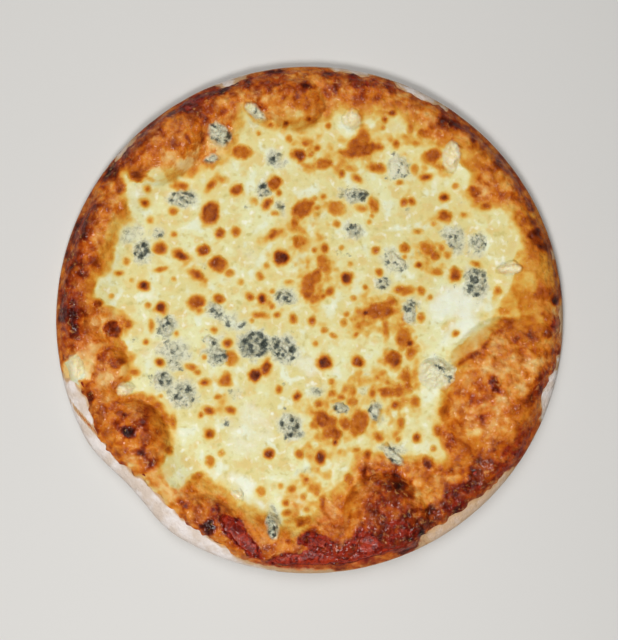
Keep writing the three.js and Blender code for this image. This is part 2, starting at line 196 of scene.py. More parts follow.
# Darker and lighter places on the browned rim and its blisters, a few of them painted shade: x, y,
# length, width, turn, browning.
RIM_MARKS = [
    # broad differences
    (-139, 30, 16, 56, -8, .82), (-97, 107, 36, 11, 43, .84), (-62, 130, 40, 11, 26, .83),
    (-100, -64, 26, 26, 0, .64), (-112, -70, 9, 22, 20, .58), (-90, -60, 12, 10, 0, .56),
    (-140, -18, 12, 14, 0, .7), (41, -94, 26, 15, 0, .7), (45, -112, 26, 28, 0, .72),
    (58, -112, 7, 26, 0, .78), (20, -112, 12, 16, 0, .6), (-84, 100, 46, 32, 40, .63),
    (50, -133, 36, 10, -15, .8), (76, -114, 20, 12, 30, .84), (132, 62, 14, 30, -20, .52),
    (92, -103, 34, 13, 37, .82), (118, -82, 22, 14, 52, .72), (113, -32, 24, 34, 20, .46),
    (104, -62, 26, 26, 0, .46), (-8, 122, 24, 10, 0, .5), (-84, 88, 20, 6, 30, .5),
    (94, 92, 20, 8, -40, .46), (118, 8, 14, 14, 0, .36), (126, 30, 14, 28, 0, .38),
    (138, 0, 14, 30, 0, .48), (-118, 50, 8, 20, -20, .44), (-56, 100, 24, 16, 30, .34),
    # left
    (-118, -28, 26, 34, 0, .62), (-133, -38, 3, 6, 0, 1), (-129, -45, 3, 7, 0, .95),
    (-142, 3, 12, 14, 0, .9), (-135, 45, 14, 30, -20, .8), (-128, 36, 6, 5, 0, .9),
    (-140, 33, 6, 6, 0, .92), (-138, 26, 5, 4, 0, .88), (-145, 22, 6, 10, 0, .64), (-137, 20, 6, 6, 0, .56),
    (-145, -6, 9, 8, 0, .62), (-137, -8, 6, 8, 0, .86), (-130, 24, 9, 16, 10, .62),
    (-134, 6, 8, 11, 0, .74), (-128, 8, 6, 10, 0, .6),
    # right
    (130, 32, 12, 26, 0, .48), (123, 17, 10, 8, 0, .5), (128, 10, 14, 6, 0, .52), (132, 3, 16, 4, -25, .46),
    (129, 49, 5, 5, 0, 1), (134, 45, 12, 5, -35, .9), (138, 52, 8, 8, 0, .6), (134, 35, 6, 6, 0, .55),
    (143, 24, 4, 4, 0, .8), (140, 17, 12, 10, 0, .7), (144, 11, 4, 4, 0, .9),
    # large blister on the right
    (122, -4, 26, 8, 0, .6), (130, -9, 4, 4, 0, .8), (139, -8, 5, 5, 0, .84), (136, -22, 8, 6, 0, .76),
    (133, -19, 4, 4, 0, .72), (113, -27, 14, 20, 20, .49), (127, -25, 10, 14, 0, .51),
    (107, -38, 5, 9, 25, .8), (96, -46, 4, 4, 0, .74), (132, -40, 7, 12, -30, .84),
    (125, -47, 8, 4, 0, .76), (119, -47, 4, 4, 0, .7), (102, -61, 22, 24, 0, .52), (109, -55, 5, 4, 0, .66),
    (101, -57, 4, 4, 0, .66), (124, -70, 12, 22, -30, .72), (130, -46, 5, 5, 0, .86),
    (124, -62, 10, 9, 0, .68), (110, -76, 16, 8, 35, .68), (97, -90, 6, 4, 0, 1), (94, -97, 6, 5, 0, .95),
    (86, -103, 12, 10, 30, .93), (75, -113, 7, 6, 0, .92), (73, -100, 16, 18, 0, .6),
    # The first two marks on the next line are a dark line along the crease at the blister's foot: painted
    # shade.
    (102, -15, 16, 3, 50, .76), (91, -23, 10, 3, 35, .78), (95, -14, 8, 5, 30, .5),
    # upper left
    (-74, 104, 10, 6, 30, .62), (-70, 89, 8, 4, 60, .58), (-78, 115, 4, 3, 0, .88),
    (-89, 116, 5, 3, 30, .85), (-94, 108, 4, 4, 0, .8), (-98, 104, 5, 4, 0, .8), (-78, 101, 4, 3, 0, .82),
    (-70, 105, 3, 3, 0, .8), (-50, 127, 10, 8, 20, .62), (-50, 121, 4, 3, 0, .85),
    (-48, 137, 10, 6, 20, .88), (-116, 88, 8, 14, -35, .82), (-112, 78, 6, 8, 0, .8),
    (-127, 64, 8, 16, -25, .78), (-126, 67, 3, 3, 0, .92), (-122, 57, 5, 8, 0, .64),
    (-110, 63, 6, 8, 0, .56), (-92, 99, 12, 10, 0, .63), (-63, 122, 14, 8, 28, .74),
    # top
    (-5, 127, 26, 24, 0, .66), (-3, 136, 7, 5, 45, .92), (-8, 129, 3, 3, 0, .85), (0, 141, 20, 5, 0, .58),
    (-22, 147, 8, 3, 0, 1), (-38, 138, 9, 8, 0, .84), (10, 144, 9, 5, 0, .8), (27, 141, 8, 8, 0, .86),
    (15, 137, 3, 5, 0, .85), (47, 136, 6, 4, 0, .85), (38, 132, 14, 8, 0, .68), (30, 120, 4, 4, 0, .7),
    (22, 130, 8, 6, 0, .66), (-23, 130, 10, 8, 0, .52),
    # upper right
    (100, 93, 14, 10, -45, .6), (112, 85, 8, 6, -45, .66), (118, 73, 10, 5, -40, .64),
    (115, 67, 10, 2.5, -35, .45), (81, 116, 11, 9, 0, .86), (91, 114, 5, 4, 0, .88),
    (96, 106.5, 3, 7, -10, .88), (102, 102, 6, 4, 30, .84), (111, 91, 7, 5, -40, .82),
    (104, 89, 3, 3, 0, .78), (128, 58, 8, 6, 0, .8), (124, 78, 6, 5, -45, .82), (130, 66, 6, 6, 0, .76),
    (110, 100, 10, 6, -45, .68), (55, 128, 12, 8, -20, .56), (64, 124, 12, 9, -25, .52),
    (129, 45, 8, 9, 0, .58),
    # lower left
    (-100, -62, 34, 34, 0, .66), (-105.5, -66, 7, 6, 0, 1), (-111, -63.5, 4, 2, 0, .9),
    (-108, -56, 3, 4, 0, .85), (-96, -74, 3, 3, 0, .95), (-99, -77, 4, 3, 0, .88), (-94, -84, 6, 5, 0, .84),
    (-118, -60, 10, 16, 20, .64), (-80, -104, 12, 8, 0, .68), (-74, -108, 6, 6, 0, .86),
    (-53, -102, 5, 4, 0, .74), (-72, -118, 8, 4, 0, .74), (-75, -123, 4, 4, 0, .68),
    (-59, -121, 7, 9, 15, 1.1), (-50, -126, 10, 8, -30, .7), (-62, -110, 16, 8, -25, .66),
    # bottom
    (34, -92, 8, 6, 0, .8), (48, -96, 14, 8, 0, .77), (52, -99, 5, 5, 0, .86), (47, -106, 8, 6, 0, .8),
    (40, -112, 10, 8, 0, .74), (57, -125, 14, 10, 0, .88), (65, -118, 6, 6, 0, .95),
    (64, -124, 6, 6, 0, .95), (58, -88, 10, 6, 0, .58),
    # paler places and smaller patches, on top of those above
    (67, -106, 4, 20, 20, .44), (76, -98, 4, 16, 25, .46), (-136, -31, 17, 19, 0, .14),
    (-107, -40, 8, 6, 0, .2), (-118, -34, 16, 8, 20, .44), (112, -50, 14, 6, 30, .44),
    (123, -40, 9, 6, 20, .38), (130, -26, 7, 6, 0, .42), (94, -54, 7, 7, 0, .42), (95, -14, 26, 7, 40, .36),
    (105, -67, 14, 7, 0, .42), (112, -12, 10, 8, 0, .5), (-80, 95, 10, 7, 0, .42),
    (-74, 91, 10, 7, 30, .36), (-10, 119, 10, 6, 0, .42), (-58, -101, 26, 8, -38, .42),
    (-89, -102.5, 36, 7, -40, .26), (-119, 40, 8, 14, -20, .54), (128, 22, 10, 12, 0, .4),
    (138, 24, 10, 9, 0, .48), (70, 121, 12, 8, -30, .44), (138, -24, 8, 10, 0, .52),
    (-130, -23, 11, 10, 0, .34), (-101, -85, 10, 8, 0, .48), (-84, -102, 14, 10, -40, .3),
    (-124, 0, 8, 8, 0, .4), (-121, -21, 10, 8, 0, .5), (-79, -94, 14, 9, -40, .2),
    (-87, -73, 9, 12, 0, .48), (-130, -30, 6, 8, 0, .3), (140, 0, 8, 11, 0, .72), (132, 49, 9, 9, 0, .82),
    (-138, 24, 9, 9, 0, .76), (48, -131, 22, 9, -15, .86), (107, -90, 13, 8, 50, .8),
    (101, -85, 12, 10, 0, .7), (85, -101, 13, 10, 0, .88), (-101, 85, 10, 10, 0, .7),
    (-125, 45, 8, 9, 0, .62), (-78, -112, 13, 8, -40, .64), (-132, 31, 9, 12, 0, .82),
    # (-60, 98) on the next line is painted shade: the shaded right side of the upper-left blister, in brown.
    (-126, 34, 9, 12, 0, .78), (-60, 98, 10, 15, 20, .56), (100, -88, 14, 12, 45, .86),
    (76, -112, 18, 12, 0, .9), (71, -119, 9, 7, 0, .86), (114, 81, 11, 10, -35, .48),
    (12, -120, 11, 9, 0, .44), (-126, -17, 9, 8, 0, .38), (51, -123, 17, 14, 0, .86),
    (-72, -102, 11, 8, 0, .44), (-131, -38, 8, 7, 0, .6), (-90, 84, 11, 7, 0, .2), (-120, 60, 9, 9, 0, .64),
    (-108, -27, 9, 13, 0, .38), (-73, -118, 12, 7, -38, .62), (-54, -108, 10, 8, 0, .48),
    (-94, 97, 13, 10, 0, .66),
]

# Glossy, more deeply orange places of the crust: x, y, length, width, turn, share.
OILY_PLACES = [
    (130, 28, 34, 84, 0, 1), (100, 96, 60, 20, -45, .5), (-84, -52, 16, 34, 0, .7),
    (24, -100, 20, 24, 0, .5), (70, -100, 14, 34, -10, .35), (96, -74, 16, 30, 20, .4),
    (-120, 26, 14, 30, 0, .5), (-90, -104, 30, 12, -40, .7), (30, 122, 30, 10, 0, .4),
    (-8, 124, 26, 16, 0, .4), (130, -60, 20, 40, -20, .6),
]

# Where the cheese has drawn back from the sauce: x, y, length, width, turn.
DRAWN_BACK = [(-41, -126, 30, 7.5, -46), (4, -130, 14, 6, -10), (2, -141, 40, 8, 0), (34, -133, 11, 15, -10)]

# Where the sauce colours the cheese or the crust red: x, y, length, width, turn, share.
RED_MARKS = [
    (45, -114, 36, 44, 0, .42), (51, -123, 20, 16, 0, .85), (17, -137, 50, 18, 0, .9),
    (48, -131, 24, 12, -15, .8), (90, -104, 34, 18, 35, .65), (118, -82, 30, 16, 52, .7),
    (137, -42, 12, 44, -15, .45), (125, -72, 16, 26, -30, .6), (105, -52, 26, 26, 0, .2),
    (-140, 6, 16, 40, 0, .5), (-132, -14, 16, 18, 0, .4), (-133, 46, 14, 34, -20, .35),
    (-100, 106, 34, 10, 42, .45), (-62, 131, 34, 9, 25, .5), (-22, 143, 24, 8, 8, .5),
    (32, 140, 34, 9, -12, .7), (90, 112, 30, 9, -40, .4), (122, 80, 30, 8, -58, .3),
    (132, 48, 10, 20, 0, .25), (-100, -60, 16, 20, 0, .25), (-80, -98, 26, 14, -40, .3),
    (-60, -118, 22, 14, -35, .35), (138, 12, 12, 26, 0, .3), (95, -15, 26, 7, 40, .4),
    (143, -3, 7, 10, 0, .9), (123, -70, 8, 10, -30, .55), (-68, 128, 16, 12, 30, .8),
    (-30, 143, 10, 6, 0, .7), (35, 142, 10, 4, 0, .7), (124, 78, 6, 5, -45, .7), (57, -125, 16, 12, 0, .8),
    (33, -131, 20, 26, -20, .85), (-8, -108, 12, 12, 0, .3), (14, -120, 20, 14, 0, .45),
    (-94, -84, 8, 8, 0, .35), (-140, 8, 8, 10, 0, .4), (101, -57, 8, 8, 0, .3), (47, -112, 24, 18, 0, .5),
]

# How far the cheese keeps back from the edge of the dough, and how much more at each angle.
CHEESE_MARGIN = 2.3
CHEESE_SETBACKS = [
    (0, 0), (12, 0), (14, 1), (16, 0), (58, 0), (64, 2.5), (70, 0), (104, 0), (109, 2.5), (114, 0),
    (190, 0), (195, 4.5), (200, 7.5), (206, 7), (212, 5), (218, 4.5), (224, 6), (230, 8.5), (237, 9),
    (243, 7), (248, 5), (253, 2), (258, 0), (295, 0), (298, 4.5), (302, 5.5), (308, 4.5), (316, 3),
    (323, 1), (326, 0), (339, 0), (342, 4), (345, 4), (349, 0),
]

# Where raw floury dough shows outside the cheese: angle, half width in degrees, share. The low
# share at 310 degrees makes the strip there tanner, which is painted shade.
PALE_DOUGH = [
    (222, 29, 1), (254, 9, .7), (266, 9, .4), (310, 13, .56), (343.5, 6.5, 1), (109, 3.5, .9), (138, 3, .7),
    (64, 5, .8), (80, 4, .7), (359, 4, .5), (14, 2, .5),
]

# Painted shade: a brown line without flour along a fold in the thick dough at the lower left, where
# its crease is shaded. The dough's form has no fold. x, y, length, width, turn.
FOLD_SHADE_LINES = [(-131, -60, 28, 1.6, -48)]


def set_back(angle):
    at, depth = zip(*CHEESE_SETBACKS)
    return np.interp(np.degrees(angle) % 360, at, depth, period=360)


def marked(x, y, marks, low, high, wobble=0.0):
    """The strongest of some marks at each point. A mark's share fades in from low to high mm inside it."""
    value = np.zeros_like(x)
    for mark in marks:
        value = np.maximum(value, mark[5] * rise(inside(x, y, mark) + wobble, low, high))
    return value


def uneven_edge(x, y):
    """Unevenness in mm of every browned outline."""
    return 0.9 * lumps(x, y, 4, 13) + 0.5 * lumps(x, y, 1.8, 14)


def rim_depth(x, y):
    """How far in mm each point lies inside the browned rim, below 0 where it is still pale."""
    angle = np.degrees(np.arctan2(y, x)) % 360
    at, radius = zip(*BROWNED_FROM)
    depth = np.hypot(x, y) - np.interp(angle, at, radius, period=360)
    return depth + 1.6 * lumps(x, y, 10, 11) + 1.4 * lumps(x, y, 4.5, 12) + 0.9 * lumps(x, y, 2.2, 20)


def rim_browning(x, y):
    """Browning of the rim, on dough and cheese alike, with its darker and lighter places."""
    wobble = uneven_edge(x, y)
    depth = rim_depth(x, y)
    value = np.interp(depth, [-9, -5, -2, 0, 3, 8, 16], [0.06, 0.13, 0.24, 0.34, 0.47, 0.56, 0.62])
    patchy = 0.07 * lumps(x, y, 14, 15) + 0.08 * lumps(x, y, 6, 16) + 0.07 * lumps(x, y, 2.8, 17)
    value += rise(depth, 0, 4) * (patchy + 0.04 * rise(np.hypot(x, y), 133, 142))
    for mark in RIM_MARKS:
        share = rise(inside(x, y, mark) + 1.5 * wobble, -2, 1.6)
        value = value + (mark[5] + 0.8 * patchy - value) * share
    return value


def dryness(x, y):
    """1 on the dull dry crust, and less where it is still oily."""
    oily = marked(x, y, OILY_PLACES, -5, 6, 3 * lumps(x, y, 7, 57))
    return rise(rim_depth(x, y), 2, 9) * (1 - oily)


def redness(x, y):
    """How much the sauce shows in the colour, up to 1 where the cheese has drawn back from it."""
    wobble = 1.2 * lumps(x, y, 5, 18) + 0.6 * lumps(x, y, 2, 19)
    value = marked(x, y, RED_MARKS, -2.5, 3, wobble)
    bare = [(*mark, 1) for mark in DRAWN_BACK]
    return np.maximum(value, marked(x, y, bare, -4, -0.5, wobble))


x, y, z = dough_points.T
angle = np.arctan2(y, x)
# The side is laid out flat round the pizza, so that patches on it don't stretch.
unrolled = 1 + np.maximum(0, SIDE_HEIGHT - z) / PIZZA_RADIUS * (np.hypot(x, y) > CREST_RADIUS)
x, y = x * unrolled, y * unrolled
uneven = 3 * lumps(x, y, 6, 27) + 1.2 * lumps(x, y, 2.5, 58)
off = [np.abs((np.degrees(angle) + uneven - at + 180) % 360 - 180) for at, _, _ in PALE_DOUGH]
pale = np.max([row[2] * (1 - rise(o, row[1] - 2, row[1] + 2)) for row, o in zip(PALE_DOUGH, off)], axis=0)
outside = np.hypot(x, y) - dough_edge(angle) + CHEESE_MARGIN + set_back(angle)
low_side = 1 - rise(z + 1.8 * lumps(x, y, 7, 25) + 1.2 * lumps(x, y, 3, 28), 1.5, 6.5)
floury = np.maximum(pale * rise(outside + 1.2 * lumps(x, y, 4, 24), -3, 1.5), low_side)
browned = rim_browning(x, y)
browned += (0.4 + 0.08 * lumps(x, y, 5, 29) - browned) * pale * rise(outside, -2, 1)
browned += (0.5 - browned) * low_side * 0.5
# Painted shade of the fold's crease: brown, and without flour.
for fold_shade in FOLD_SHADE_LINES:
    browned = np.maximum(browned, 0.74 * rise(inside(x, y, fold_shade) + 0.4 * lumps(x, y, 3, 30), -0.9, 0.6))
    floury *= 1 - rise(inside(x, y, fold_shade), -1, 0.5)


def colour(code):
    """Linear colour from an sRGB hex code."""
    parts = [int(code[k:k + 2], 16) / 255 for k in (1, 3, 5)]
    return [c / 12.92 if c <= 0.04045 else ((c + 0.055) / 1.055) ** 2.4 for c in parts] + [1]


def new_material(name):
    material = bpy.data.materials.new(name)
    material.use_nodes = True
    material.node_tree.nodes.clear()
    return material


def add(material, kind, inputs=(), output=0, **settings):
    """Adds a shader node and gives one of its outputs. Inputs go in order or by name: another node's
    output is linked, a hex code is a colour and any other value is set."""
    node = material.node_tree.nodes.new("ShaderNode" + kind)
    for name, value in settings.items():
        setattr(node, name, value)
    for name, value in inputs.items() if isinstance(inputs, dict) else enumerate(inputs):
        if isinstance(value, bpy.types.NodeSocket):
            material.node_tree.links.new(value, node.inputs[name])
        else:
            node.inputs[name].default_value = colour(value) if isinstance(value, str) else value
    return node.outputs[output] if len(node.outputs) else None


# Settings of a map range node that goes softly from 0 at its low value to 1 at its high one.
SMOOTH = {"interpolation_type": "SMOOTHSTEP"}


def grain(m, size, detail=2, roughness=0.5, swirl=0.0):
    """Noise from 0 to 1 with grains `size` mm wide, in the pizza's own coordinates. swirl draws the
    grains out into strands."""
    noise = {"Scale": 1 / (size * MM), "Detail": detail, "Roughness": roughness, "Distortion": swirl}
    return add(m, "TexNoise", {"Vector": add(m, "TexCoord", output="Object"), **noise}, "Fac")


def cells(m, size):
    """Uneven rounded cells `size` mm wide: 0 in their middles and about 0.6 where they meet."""
    place = add(m, "TexCoord", output="Object")
    swirl = add(m, "TexNoise", {"Vector": place, "Scale": 0.7 / (size * MM), "Detail": 2}, "Color")
    moved = add(m, "VectorMath", [swirl, [0.9 * size * MM] * 3, place], operation="MULTIPLY_ADD")
    inputs = {"Vector": moved, "Scale": 1 / (size * MM), "Smoothness": 0.4}
    return add(m, "TexVoronoi", inputs, "Distance", feature="SMOOTH_F1", voronoi_dimensions="2D")


def finish_material(m, inputs, height=None, depth=1.0, oily=None):
    """Closes a material with its surface. height times depth mm is a fine relief, and oily the share of
    a clear wet film that lies on top of it in smoother waves."""
    if height is not None:
        inputs["Normal"] = add(m, "Bump", {"Height": height, "Distance": depth * MM, "Strength": 1.0})
    if oily is not None:
        waves = {"Height": grain(m, 4.0, 1), "Distance": 2.4 * MM, "Strength": 1.0}
        inputs["Coat Weight"] = oily
        inputs["Coat Roughness"] = 0.12
        inputs["Coat Normal"] = add(m, "Bump", waves)
    add(m, "OutputMaterial", {"Surface": add(m, "BsdfPrincipled", inputs)})


# Colours of the baked crust by browning / 1.15: on oily cheese, on dry crust, where the sauce has
# soaked in, and paler, pinker browns for patches of painted sheen on the dry crust.
CRUST_COLOURS = {
    "toasted": [
        (.19, "#E4D48E"), (.26, "#E0C06C"), (.33, "#DCAA4C"), (.4, "#D69538"), (.47, "#CE8226"),
        (.54, "#C26E18"), (.61, "#B05A12"), (.68, "#96440C"), (.75, "#763008"), (.82, "#521904"),
        (.9, "#300D06"), (1, "#190B08"),
    ],
    "crusty": [
        (.25, "#EBC47A"), (.38, "#E39C48"), (.47, "#D87F26"), (.54, "#CA6A12"), (.61, "#B2500A"),
        (.68, "#943606"), (.76, "#6C2004"), (.86, "#3C0E04"), (1, "#1A0A08"),
    ],
    "soaked": [
        (.25, "#E08E42"), (.42, "#C8561C"), (.55, "#A6360E"), (.68, "#801B08"), (.8, "#580B04"),
        (.95, "#260906"),
    ],
    "sheen_tinted": [
        (.25, "#E6BE7C"), (.4, "#D38E48"), (.5, "#BE6E2C"), (.58, "#A6561E"), (.68, "#84360E"),
        (.82, "#4C1406"), (1, "#1E0C08"),
    ],
}


def baked_skin(m):
    """Colour of browned cheese and crust: golden at 0.4, orange-brown at 0.6, charred at 1. Where red
    is 1 the sauce has soaked into it. Where dry is 1 the crust has patches of paler, pinker brown, which
    are painted sheen, and pale specks, which are painted highlights."""
    browned = add(m, "Attribute", output="Fac", attribute_name="browned")
    red = add(m, "Attribute", output="Fac", attribute_name="red")
    dry = add(m, "Attribute", output="Fac", attribute_name="dry")
    broad = add(m, "Math", [grain(m, 9, 3), 0.6, -0.3], operation="MULTIPLY_ADD")
    domes = add(m, "Math", [cells(m, 6), -0.12, 0.045], operation="MULTIPLY_ADD")
    strands = add(m, "Math", [grain(m, 4.5, 3, 0.5, 0.6), 0.6, -0.3], operation="MULTIPLY_ADD")
    uneven = add(m, "Math", [domes, strands], operation="ADD")
    uneven = add(m, "Math", [uneven, broad], operation="ADD")
    strength = add(m, "Math", [dry, 0.3, 0.5], operation="MULTIPLY_ADD")
    baked = add(m, "MapRange", [browned, 0.05, 0.45], **SMOOTH)
    strength = add(m, "Math", [baked, strength], operation="MULTIPLY")
    value = add(m, "Math", [uneven, strength, browned], operation="MULTIPLY_ADD")
    value = add(m, "Math", [value, 1.15], operation="DIVIDE")
    shades = {}
    for name, stops in CRUST_COLOURS.items():
        shades[name] = add(m, "ValToRGB", [value])
        ends = shades[name].node.color_ramp.elements
        ends[0].position, ends[0].color = stops[0][0], colour(stops[0][1])
        ends[1].position, ends[1].color = stops[-1][0], colour(stops[-1][1])
        for position, code in stops[1:-1]:
            ends.new(position).color = colour(code)
    skin = add(m, "MixRGB", [dry, shades["toasted"], shades["crusty"]])
    skin = add(m, "MixRGB", [red, skin, shades["soaked"]])
    # Patches of paler, pinker brown on the dry crust: painted sheen.
    sheen_patches = add(m, "MapRange", [grain(m, 8, 3, 0.6), 0.44, 0.62], **SMOOTH)
    sheen_patches = add(m, "Math", [sheen_patches, dry], operation="MULTIPLY")
    sheen_patches = add(m, "Math", [sheen_patches, 0.7], operation="MULTIPLY")
    skin = add(m, "MixRGB", [sheen_patches, skin, shades["sheen_tinted"]])
    # Pale specks on the dry crust: painted highlights.
    highlight_specks = add(m, "MapRange", [grain(m, 3, 2, 0.5, 0.8), 0.57, 0.76], **SMOOTH)
    highlight_specks = add(m, "Math", [highlight_specks, dry], operation="MULTIPLY")
    highlight_specks = add(m, "Math", [highlight_specks, 0.36], operation="MULTIPLY")
    return add(m, "MixRGB", [highlight_specks, skin, "#F0B462"])


# Floury baked dough: golden brown to charred crust where it is bare, and dull, with a pinkish-white
# skin of flour low on the side.
dough_material = m = new_material("floury baked dough")
dusted = add(m, "MapRange", [grain(m, 8, 3), 0.35, 0.65], **SMOOTH)
flour = add(m, "MixRGB", [dusted, "#EEE4DE", "#DCCABA"])
tanned = add(m, "MixRGB", [grain(m, 3, 3), "#D9B78E", "#BD8F62"])
flour_share = add(m, "Attribute", output="Fac", attribute_name="floury")
patchy = add(m, "Math", [grain(m, 3, 4), 0.3, -0.15], operation="MULTIPLY_ADD")
patchy = add(m, "Math", [flour_share, patchy], operation="ADD")
skin = add(m, "MixRGB", [add(m, "MapRange", [patchy, 0.02, 0.3], **SMOOTH), baked_skin(m), tanned])
skin = add(m, "MixRGB", [add(m, "MapRange", [patchy, 0.4, 0.85], **SMOOTH), skin, flour])
pores = add(m, "Math", [grain(m, 0.8, 2), 0.4], operation="MULTIPLY")
height = add(m, "Math", [grain(m, 2.5, 4), pores], operation="ADD")
finish_material(m, {"Base Color": skin, "Roughness": 0.7, "Specular IOR Level": 0.25}, height, 1.0)


def make_piece(name, points, faces, material, slot, node, **fields):
    """One piece that stands for a CAD node. fields are numbers for each point that its material reads."""
    mesh = bpy.data.meshes.new(name)
    mesh.from_pydata((points * MM).tolist(), [], faces)
    for field, values in fields.items():
        stored = mesh.attributes.new(field, "FLOAT", "POINT")
        stored.data.foreach_set("value", np.broadcast_to(values, len(points)).astype(np.float32))
    mesh.polygons.foreach_set("use_smooth", [True] * len(mesh.polygons))
    mesh.materials.append(material)
    piece = bpy.data.objects.new(name, mesh)
    bpy.context.scene.collection.objects.link(piece)
    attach(piece, "root")
    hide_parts(node)
    return piece


make_piece("baked_dough", dough_points, dough_faces, dough_material, "baked_dough", "dough_crust",
           browned=browned, floury=floury, red=redness(x, y), dry=dryness(x, y))


# ---------------------------------------------------------------------------------------------------
# Tomato sauce: crushed tomato, spread thin on the dough and cooked down in the oven. It shows where the
# cheese has drawn back at the rim. It is a closed sheet that follows the dough.
# ---------------------------------------------------------------------------------------------------

GAP = 0.3
SAUCE_THICKNESS = 1
SAUCE_MARGIN = 5.5
SAUCE_LIP = 2.5
SAUCE_STEPS = 200

# How deep the edges of sauce and cheese sink into the dough, and how deep the sauce's underside lies.
SEAM = 0.4
SAUCE_ROOT = 0.3


def bubbles(x, y, cell, seed):
    """Round domes from 0 to 1 at random places, about one in each square `cell` mm wide."""
    table = np.random.default_rng(seed).uniform(0, 1, (64, 64, 4))
    u, v = x / cell, y / cell
    i, j = np.floor(u).astype(int), np.floor(v).astype(int)
    best = np.zeros_like(u)
    for a in (-1, 0, 1):
        for b in (-1, 0, 1):
            one = table[(i + a) % 64, (j + b) % 64]
            away = (u - i - a - one[..., 0]) ** 2 + (v - j - b - one[..., 1]) ** 2
            radius = 0.3 + 0.45 * one[..., 2]
            dome = np.sqrt(np.maximum(0, 1 - away / radius ** 2))
            best = np.maximum(best, dome * (0.35 + 0.65 * one[..., 3]))
    return best


def closed_sheet(steps, edge, top, bottom, middle=(0, 0), coarse=4):
    """A closed body: a fine upper face and a coarser lower one that meet along the outline.
    edge(angle) is the outline's radius. top and bottom are levels from x, y and mm inside the outline."""
    line = np.linspace(-1, 1, steps + 1)
    a, b = np.meshgrid(line, line, indexing="ij")
    wide = np.abs(a) >= np.abs(b)
    longer = np.where(wide, a, b)
    ratio = np.where(wide, b, a) / np.where(longer == 0, 1, longer)
    turn = np.where(wide, ratio, 2 - ratio) * math.pi / 4
    u, v = longer * np.cos(turn), longer * np.sin(turn)
    share, angle = np.hypot(u, v), np.arctan2(v, u)
    radius = edge(angle)
    x, y = middle[0] + share * radius * np.cos(angle), middle[1] + share * radius * np.sin(angle)
    inward = (1 - share) * radius
    upper = np.stack([x, y, top(x, y, inward)], axis=-1)
    lower = np.stack([x, y, bottom(x, y, inward)], axis=-1)[coarse:-1:coarse, coarse:-1:coarse]
    wide_row = steps + 1
    i, j = np.meshgrid(np.arange(steps), np.arange(steps), indexing="ij")
    first = (i * wide_row + j).ravel()
    faces = np.stack([first, first + wide_row, first + wide_row + 1, first + 1], axis=1).tolist()
    inner_row = steps // coarse - 1

    def number(i, j):
        if i in (0, steps) or j in (0, steps):
            return i * wide_row + j
        return wide_row ** 2 + (i // coarse - 1) * inner_row + j // coarse - 1

    def along(start, end):
        on_edge = any(start[k] == end[k] and start[k] in (0, steps) for k in (0, 1))
        count = coarse if on_edge else 1
        step = [(end[k] - start[k]) // count for k in (0, 1)]
        return [number(start[0] + n * step[0], start[1] + n * step[1]) for n in range(count)]

    for i in range(0, steps, coarse):
        for j in range(0, steps, coarse):
            corners = [(i, j), (i, j + coarse), (i + coarse, j + coarse), (i + coarse, j)]
            faces.append(sum((along(corners[k], corners[(k + 1) % 4]) for k in range(4)), []))
    return np.concatenate([upper.reshape(-1, 3), lower.reshape(-1, 3)]), faces


def sauce_edge(angle):
    ragged = 0.8 * lumps(150 * angle, 0 * angle, 6, 31)
    return dough_edge(angle) - SAUCE_MARGIN - set_back(angle) + ragged


def sauce_top(x, y, inward):
    lip = np.sqrt(1 - (1 - np.clip(inward / SAUCE_LIP, 0, 1)) ** 2)
    pulpy = 0.25 * lumps(x, y, 4, 32) + 0.3 * bubbles(x, y, 7, 33)
    return dough_top(x, y) - SEAM + (GAP + SAUCE_THICKNESS + SEAM + pulpy) * lip


def sauce_bottom(x, y, inward):
    return dough_top(x, y) - SAUCE_ROOT


# Cooked tomato sauce: deep wet red with darker, thicker places and a thin film of orange oil.
sauce_material = m = new_material("cooked tomato sauce")
thick = add(m, "MapRange", [grain(m, 4, 4, 0.6, 1.0), 0.38, 0.62], **SMOOTH)
skin = add(m, "MixRGB", [thick, "#A83014", "#681208"])
oiled = add(m, "MapRange", [grain(m, 8, 3), 0.55, 0.75], **SMOOTH)
skin = add(m, "MixRGB", [oiled, skin, "#A83E16"])
height = add(m, "Math", [cells(m, 5), -0.8, grain(m, 3, 3)], operation="MULTIPLY_ADD")
finish_material(m, {"Base Color": skin, "Roughness": 0.35, "Specular IOR Level": 0.15}, height, 0.7, 0.22)

make_piece("sauce_layer", *closed_sheet(SAUCE_STEPS, sauce_edge, sauce_top, sauce_bottom), sauce_material,
           "tomato_sauce", "tomato_sauce")


# ---------------------------------------------------------------------------------------------------
# Melted cheese: grated cheeses, melted into one sheet over base and rim, with browned spots, blisters
# and holes where it has drawn back. It is a closed sheet, and crumbs under 5 mm are bumps in it.
# ---------------------------------------------------------------------------------------------------

CHEESE_THICKNESS = 2.4
CHEESE_UNEVENNESS = 0.3
RIM_CHEESE_THICKNESS = 1.3
CHEESE_LIP = 9
CHEESE_STEPS = 296

# Levels over the dough of the cheese's underside, and of its face where it has drawn back. Both lie
# within the sauce.
CHEESE_UNDERSIDE = 0.1
BARE_LEVEL = 0.4

# Where the cheese's edge is drawn in from the sauce: angle, half width in degrees, and depth.
BARE_SAUCE = [(269, 11, 9), (284, 9, 8)]

BLUE_LUMPS = [f"blue_cheese_{n:02d}" for n in range(1, 31)]
SOFT_LUMPS = [f"soft_cheese_{n}" for n in range(1, 7)]

# Crumbs of blue cheese that are part of the sheet: x, y, width.
SMALL_CRUMBS = [
    (-20, 95, 4.7), (-88, 50, 4.1), (-17, 67, 4.1), (4, 62, 4.1), (-10, 46, 3.6), (-80, -18, 4.1),
    (-81, -26, 4.1), (-97, -34, 4.7), (-1, -89, 4.1), (5, -42, 4.1), (47, -18, 3.4), (17, 40, 3.4),
    (7, 17, 3.6), (-103, -11, 3.4), (-62, 31, 3.6), (64, 39, 3.4),
]

